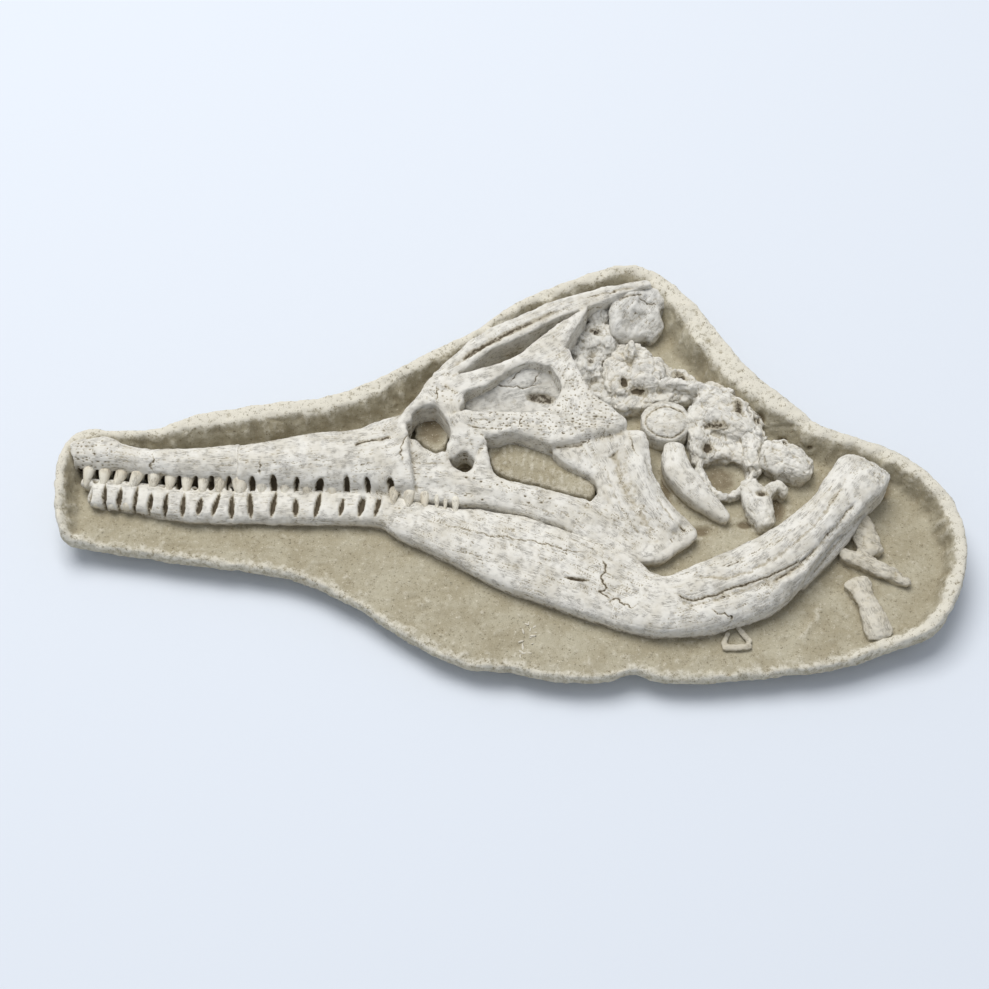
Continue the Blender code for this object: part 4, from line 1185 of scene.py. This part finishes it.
broken_bone(
    "neck_middle", 14.0, 2.4,
    [
        [(238, 104, 66, 24, 14), (262, 92, 68, 30, 16), (288, 70, 68, 28, 14), (308, 44, 62, 16, 12)],
        [(240, 90, 64, 14, 12), (236, 46, 62, 12, 12), (238, 8, 58, 9, 10)],
        [(306, 56, 62, 16, 12), (304, 20, 60, 12, 12), (304, -8, 56, 9, 10)],
        [
            (236, 10, 54, 7, 8), (244, -24, 52, 5, 8), (264, -45, 52, 5, 8), (290, -38, 52, 5, 8),
            (306, -8, 54, 7, 8),
        ],
        [(192, 130, 74, 7, 8), (240, 120, 74, 8, 10), (290, 112, 72, 7, 8)],
    ],
    [(230, 0), (240, 60), (262, 92), (300, 60)],
    [[
        (226, 10, 60), (230, 60, 66), (234, 104, 68), (250, 134, 68), (278, 130, 68), (304, 112, 66),
        (322, 84, 64), (328, 52, 62), (322, 16, 60), (312, -12, 58), (300, -6, 58), (290, 10, 60),
        (268, 16, 62), (244, 8, 60),
    ]],
    [(316, 74, 14, 18, 7), (262, 62, 28, 14, 4), (290, 92, 14, 28, 3), (250, 28, 14, 18, 4)],
)
broken_bone(
    "neck_side", 15.0, 1.7,
    [
        [(296, -22, 58, 12, 10), (308, -56, 58, 19, 14), (318, -94, 54, 10, 10)],
        [(308, -56, 58, 9, 10), (332, -30, 58, 8, 10), (346, -44, 54, 6, 8)],
    ],
    [(296, -22), (308, -56), (318, -94)],
    hollows=[(312, -40, 16, 8, 4)],
)
broken_bone(
    "neck_rear", 16.0, 2.4,
    [[(314, 20, 64, 16, 12), (340, 14, 66, 24, 16), (368, -2, 64, 20, 12), (380, -12, 60, 8, 8)]],
    [(314, 20), (340, 14), (380, -12)],
    hollows=[(348, 38, 10, 8, 5)],
)

# Loose bones
# A broken vertebra with a blade of bone across its end, a short shaft, and a thin bent splinter. They are
# tanner than the skull and lie on the bed, held by the matrix under them.

LOOSE = bone_finish(
    "loose_bone", tone(216, 210, 195), tone(196, 188, 168), tone(170, 159, 132), tone(84, 74, 58), lines=0.6
)
broken_bone(
    "loose_cross", 17.0, 1.2,
    [
        [(428, -66, 52, 9, 10), (436, -92, 52, 16, 12), (446, -134, 50, 17, 10)],
        [(404, -126, 50, 8, 8), (446, -148, 50, 11, 10), (490, -173, 48, 6, 7)],
    ],
    [(400, -125), (446, -148), (490, -173)],
    finish=LOOSE,
)
broken_bone(
    "loose_shaft", 18.0, 0.9,
    [[(420, -164, 48, 20, 9), (431, -194, 50, 13, 11), (440, -228, 50, 18, 10), (446, -250, 47, 17, 7)]],
    [(420, -164), (431, -194), (446, -250)],
    finish=LOOSE,
)
broken_bone(
    "loose_hook", 19.0, 0.5,
    [
        [(270, -230, 45, 4, 4), (288, -254, 45, 5, 4)], [(250, -260, 45, 5, 4), (290, -259, 45, 5, 4)],
        [(252, -258, 45, 4, 4), (262, -238, 45, 4, 4)],
    ],
    [(250, -260), (290, -259)],
    finish=LOOSE, roll=2,
)

# Bone flakes
# A few splinters of bone in the near part of the bed, chipped off the jaw. They are glued down where they
# were found.

flake_ground = bpy.data.meshes.new("flake_ground")
corners = [(6, -272, 45), (22, -276, 45), (30, -224, 45), (14, -222, 45)]
flake_ground.from_pydata(((grounded(corners) - (*MIDDLE, 2.4)) * MM).tolist(), [], [(0, 1, 2, 3)])
flakes = {"Count": 22000.0, "Smallest": 0.0007, "Largest": 0.0016, "Long": 3.0, "Seed": 8}
grown("flakes", flake_ground, SCATTERED, flakes, LOOSE)

# Teeth
# Blunt cones of pale enamel in two rows that meet and close the mouth, each root sunk in its jaw. The front
# ones lie jumbled.

# Slits before and behind each tooth, line of the roots, reach over the gap, levels of root and tip
TOOTH_ROWS = [
    (UPPER_SLITS, [(-540, -6), (-480, -12), (-430, -17), (-340, -20), (-200, -22), (-150, -28)], -25, 67, 62),
    (LOWER_SLITS, [(-530, -52), (-440, -62), (-340, -66), (-160, -66)], 25, 56, 60),
    ([-156, -139, -118, -100, -88, -78, -63], [(-150, -36), (-60, -52)], -21, 71, 68),
    ([-160, -146, -128, -109, -94, -83, -70], [(-150, -70), (-60, -76)], 13, 62, 67),
]


def teeth_points():
    """A point for each tooth's root, with the way that the tooth reaches and its half width."""
    draw = random.Random(11)
    jumbled_before = -455
    roots, reaches, widths = [], [], []
    for slits, line, reach, root_level, tip_level in TOOTH_ROWS:
        run = np.array(line, float)
        for before, behind in zip(slits, slits[1:]):
            x = (before + behind) / 2
            jumble = 4.0 if x < jumbled_before else 1.0
            y = float(np.interp(x, run[:, 0], run[:, 1]))
            lean = draw.uniform(-2.5, 1.5) * jumble - 1.0
            across = reach * draw.uniform(0.9, 1.1)
            root = grounded([(x, y, root_level + draw.uniform(-0.6, 0.6) * jumble)])[0]
            tip = grounded([(x + lean, y + across, tip_level + draw.uniform(-1.0, 1.5))])[0]
            roots.append(metres(root))
            reaches.append((tip - root) * MM)
            widths.append((behind - before - draw.uniform(3.5, 5.5)) / 2 * MM)
    mesh = bpy.data.meshes.new("roots")
    mesh.from_pydata([tuple(root) for root in roots], [], [])
    mark(mesh, "reach", reaches)
    mark(mesh, "half_width", widths)
    return mesh


def tooth_rows():
    """A tooth on each point: a ball drawn out along its reach, narrowed and bowed towards its tip."""
    tree, given, result = branching("tooth_rows", {"Taper": 0.45, "Bow": 0.1, "Root": 0.3, "Sides": 14})
    ball = add(tree, "GeometryNodeMeshUVSphere", {"Segments": given["Sides"], "Rings": 10, "Radius": 1.0})
    place = add(tree, "SeparateXYZ", {0: add(tree, "GeometryNodeInputPosition").outputs[0]})
    up = maths(tree, "MAXIMUM", place.outputs[2], 0.0)
    bent = times(tree, times(tree, up, up), given["Bow"])
    narrow = maths(tree, "SUBTRACT", 1.0, times(tree, up, given["Taper"]))
    across = maths(tree, "ADD", times(tree, place.outputs[0], narrow), bent)
    beside = times(tree, place.outputs[1], narrow)
    root = times(tree, maths(tree, "MINIMUM", place.outputs[2], 0.0), given["Root"])
    moved = add(tree, "CombineXYZ", {0: across, 1: beside, 2: maths(tree, "ADD", up, root)})
    shape = add(tree, "GeometryNodeSetPosition", {"Geometry": ball.outputs[0], "Position": moved.outputs[0]})
    reach = add(tree, "GeometryNodeInputNamedAttribute", {0: "reach"}, data_type="FLOAT_VECTOR").outputs[0]
    width = add(tree, "GeometryNodeInputNamedAttribute", {0: "half_width"}, data_type="FLOAT").outputs[0]
    length = add(tree, "VectorMath", {0: reach}, operation="LENGTH").outputs["Value"]
    turn = add(tree, "FunctionNodeAlignRotationToVector", {"Vector": reach}, axis="Z")
    placed = add(
        tree, "GeometryNodeInstanceOnPoints",
        {"Points": given["Geometry"], "Instance": shape.outputs[0], "Rotation": turn.outputs[0],
         "Scale": add(tree, "CombineXYZ", {0: width, 1: width, 2: length}).outputs[0]},
    )
    whole = add(tree, "GeometryNodeRealizeInstances", {0: placed.outputs[0]})
    smoothed = add(tree, "GeometryNodeSetShadeSmooth", {0: whole.outputs[0]})
    return finished(tree, smoothed.outputs[0], given, result)


TOOTH = bone_finish(
    "tooth", tone(232, 227, 212), tone(216, 207, 187), tone(176, 162, 136), tone(96, 84, 66), lines=0.5
)
teeth = grown("teeth", teeth_points(), tooth_rows(), {"Taper": 0.45, "Bow": 0.08, "Root": 0.3}, TOOTH)
mark(teeth.data, "lie", taken(teeth.data.vertices, "co")[:, [1, 0, 2]] * 100)  # fibres run down each tooth

# Floor, light and camera
# A plain pale floor under one broad soft light from above and behind, with a cool pale sky all round. The
# slab is seen from its near side and well above.

PHOTO_WIDTH = 989  # pixels
SENSOR_WIDTH = 36.0  # millimetres
PIXELS_PER_METRE = 792.0  # at the camera's target
CAMERA_AWAY = 2.4
CAMERA_ABOVE = 58.0  # degrees
TARGET = (-0.0151, -0.04525, 0.05)
LAMP_PLACE = (-1.3, 1.9, 6.5)
LAMP_SIZE = 4.2
LAMP_POWER = 400.0
LAMP_COLOUR = (1.0, 0.985, 0.96)
SKY = (226, 231, 241)
SKY_STRENGTH = 0.5


def floor(reach=30.0):
    finish, _, shader = new_finish("floor", 0.9, 0.1)
    shader.inputs["Base Color"].default_value = tone(222, 228, 236)
    sheet = bpy.data.meshes.new("floor")
    corners = [(-reach, -reach, 0), (reach, -reach, 0), (reach, reach, 0), (-reach, reach, 0)]
    sheet.from_pydata(corners, [], [(0, 1, 2, 3)])
    sheet.materials.append(finish)
    stood("floor", sheet)


def lamp():
    """A square soft light that looks at the slab."""
    made = bpy.data.lights.new("overhead", "AREA")
    made.size, made.energy, made.color = LAMP_SIZE, LAMP_POWER, LAMP_COLOUR
    held = stood("overhead", made)
    held.location = LAMP_PLACE
    held.rotation_euler = (-Vector(LAMP_PLACE)).to_track_quat("-Z", "Y").to_euler()


def camera():
    made = bpy.data.cameras.new("camera")
    held = stood("camera", made)
    above = math.radians(CAMERA_ABOVE)
    held.location = Vector(TARGET) + CAMERA_AWAY * Vector((0, -math.cos(above), math.sin(above)))
    held.rotation_euler = (math.pi / 2 - above, 0, 0)
    made.sensor_width = SENSOR_WIDTH
    made.lens = SENSOR_WIDTH * PIXELS_PER_METRE * CAMERA_AWAY / PHOTO_WIDTH
    made.clip_end = 100.0
    bpy.context.scene.camera = held


floor()
lamp()
sky = bpy.data.worlds.new("studio")
sky.use_nodes = True
background = sky.node_tree.nodes["Background"]
background.inputs["Color"].default_value = tone(*SKY)
background.inputs["Strength"].default_value = SKY_STRENGTH
bpy.context.scene.world = sky
bpy.context.scene.view_settings.view_transform = "Standard"
camera()
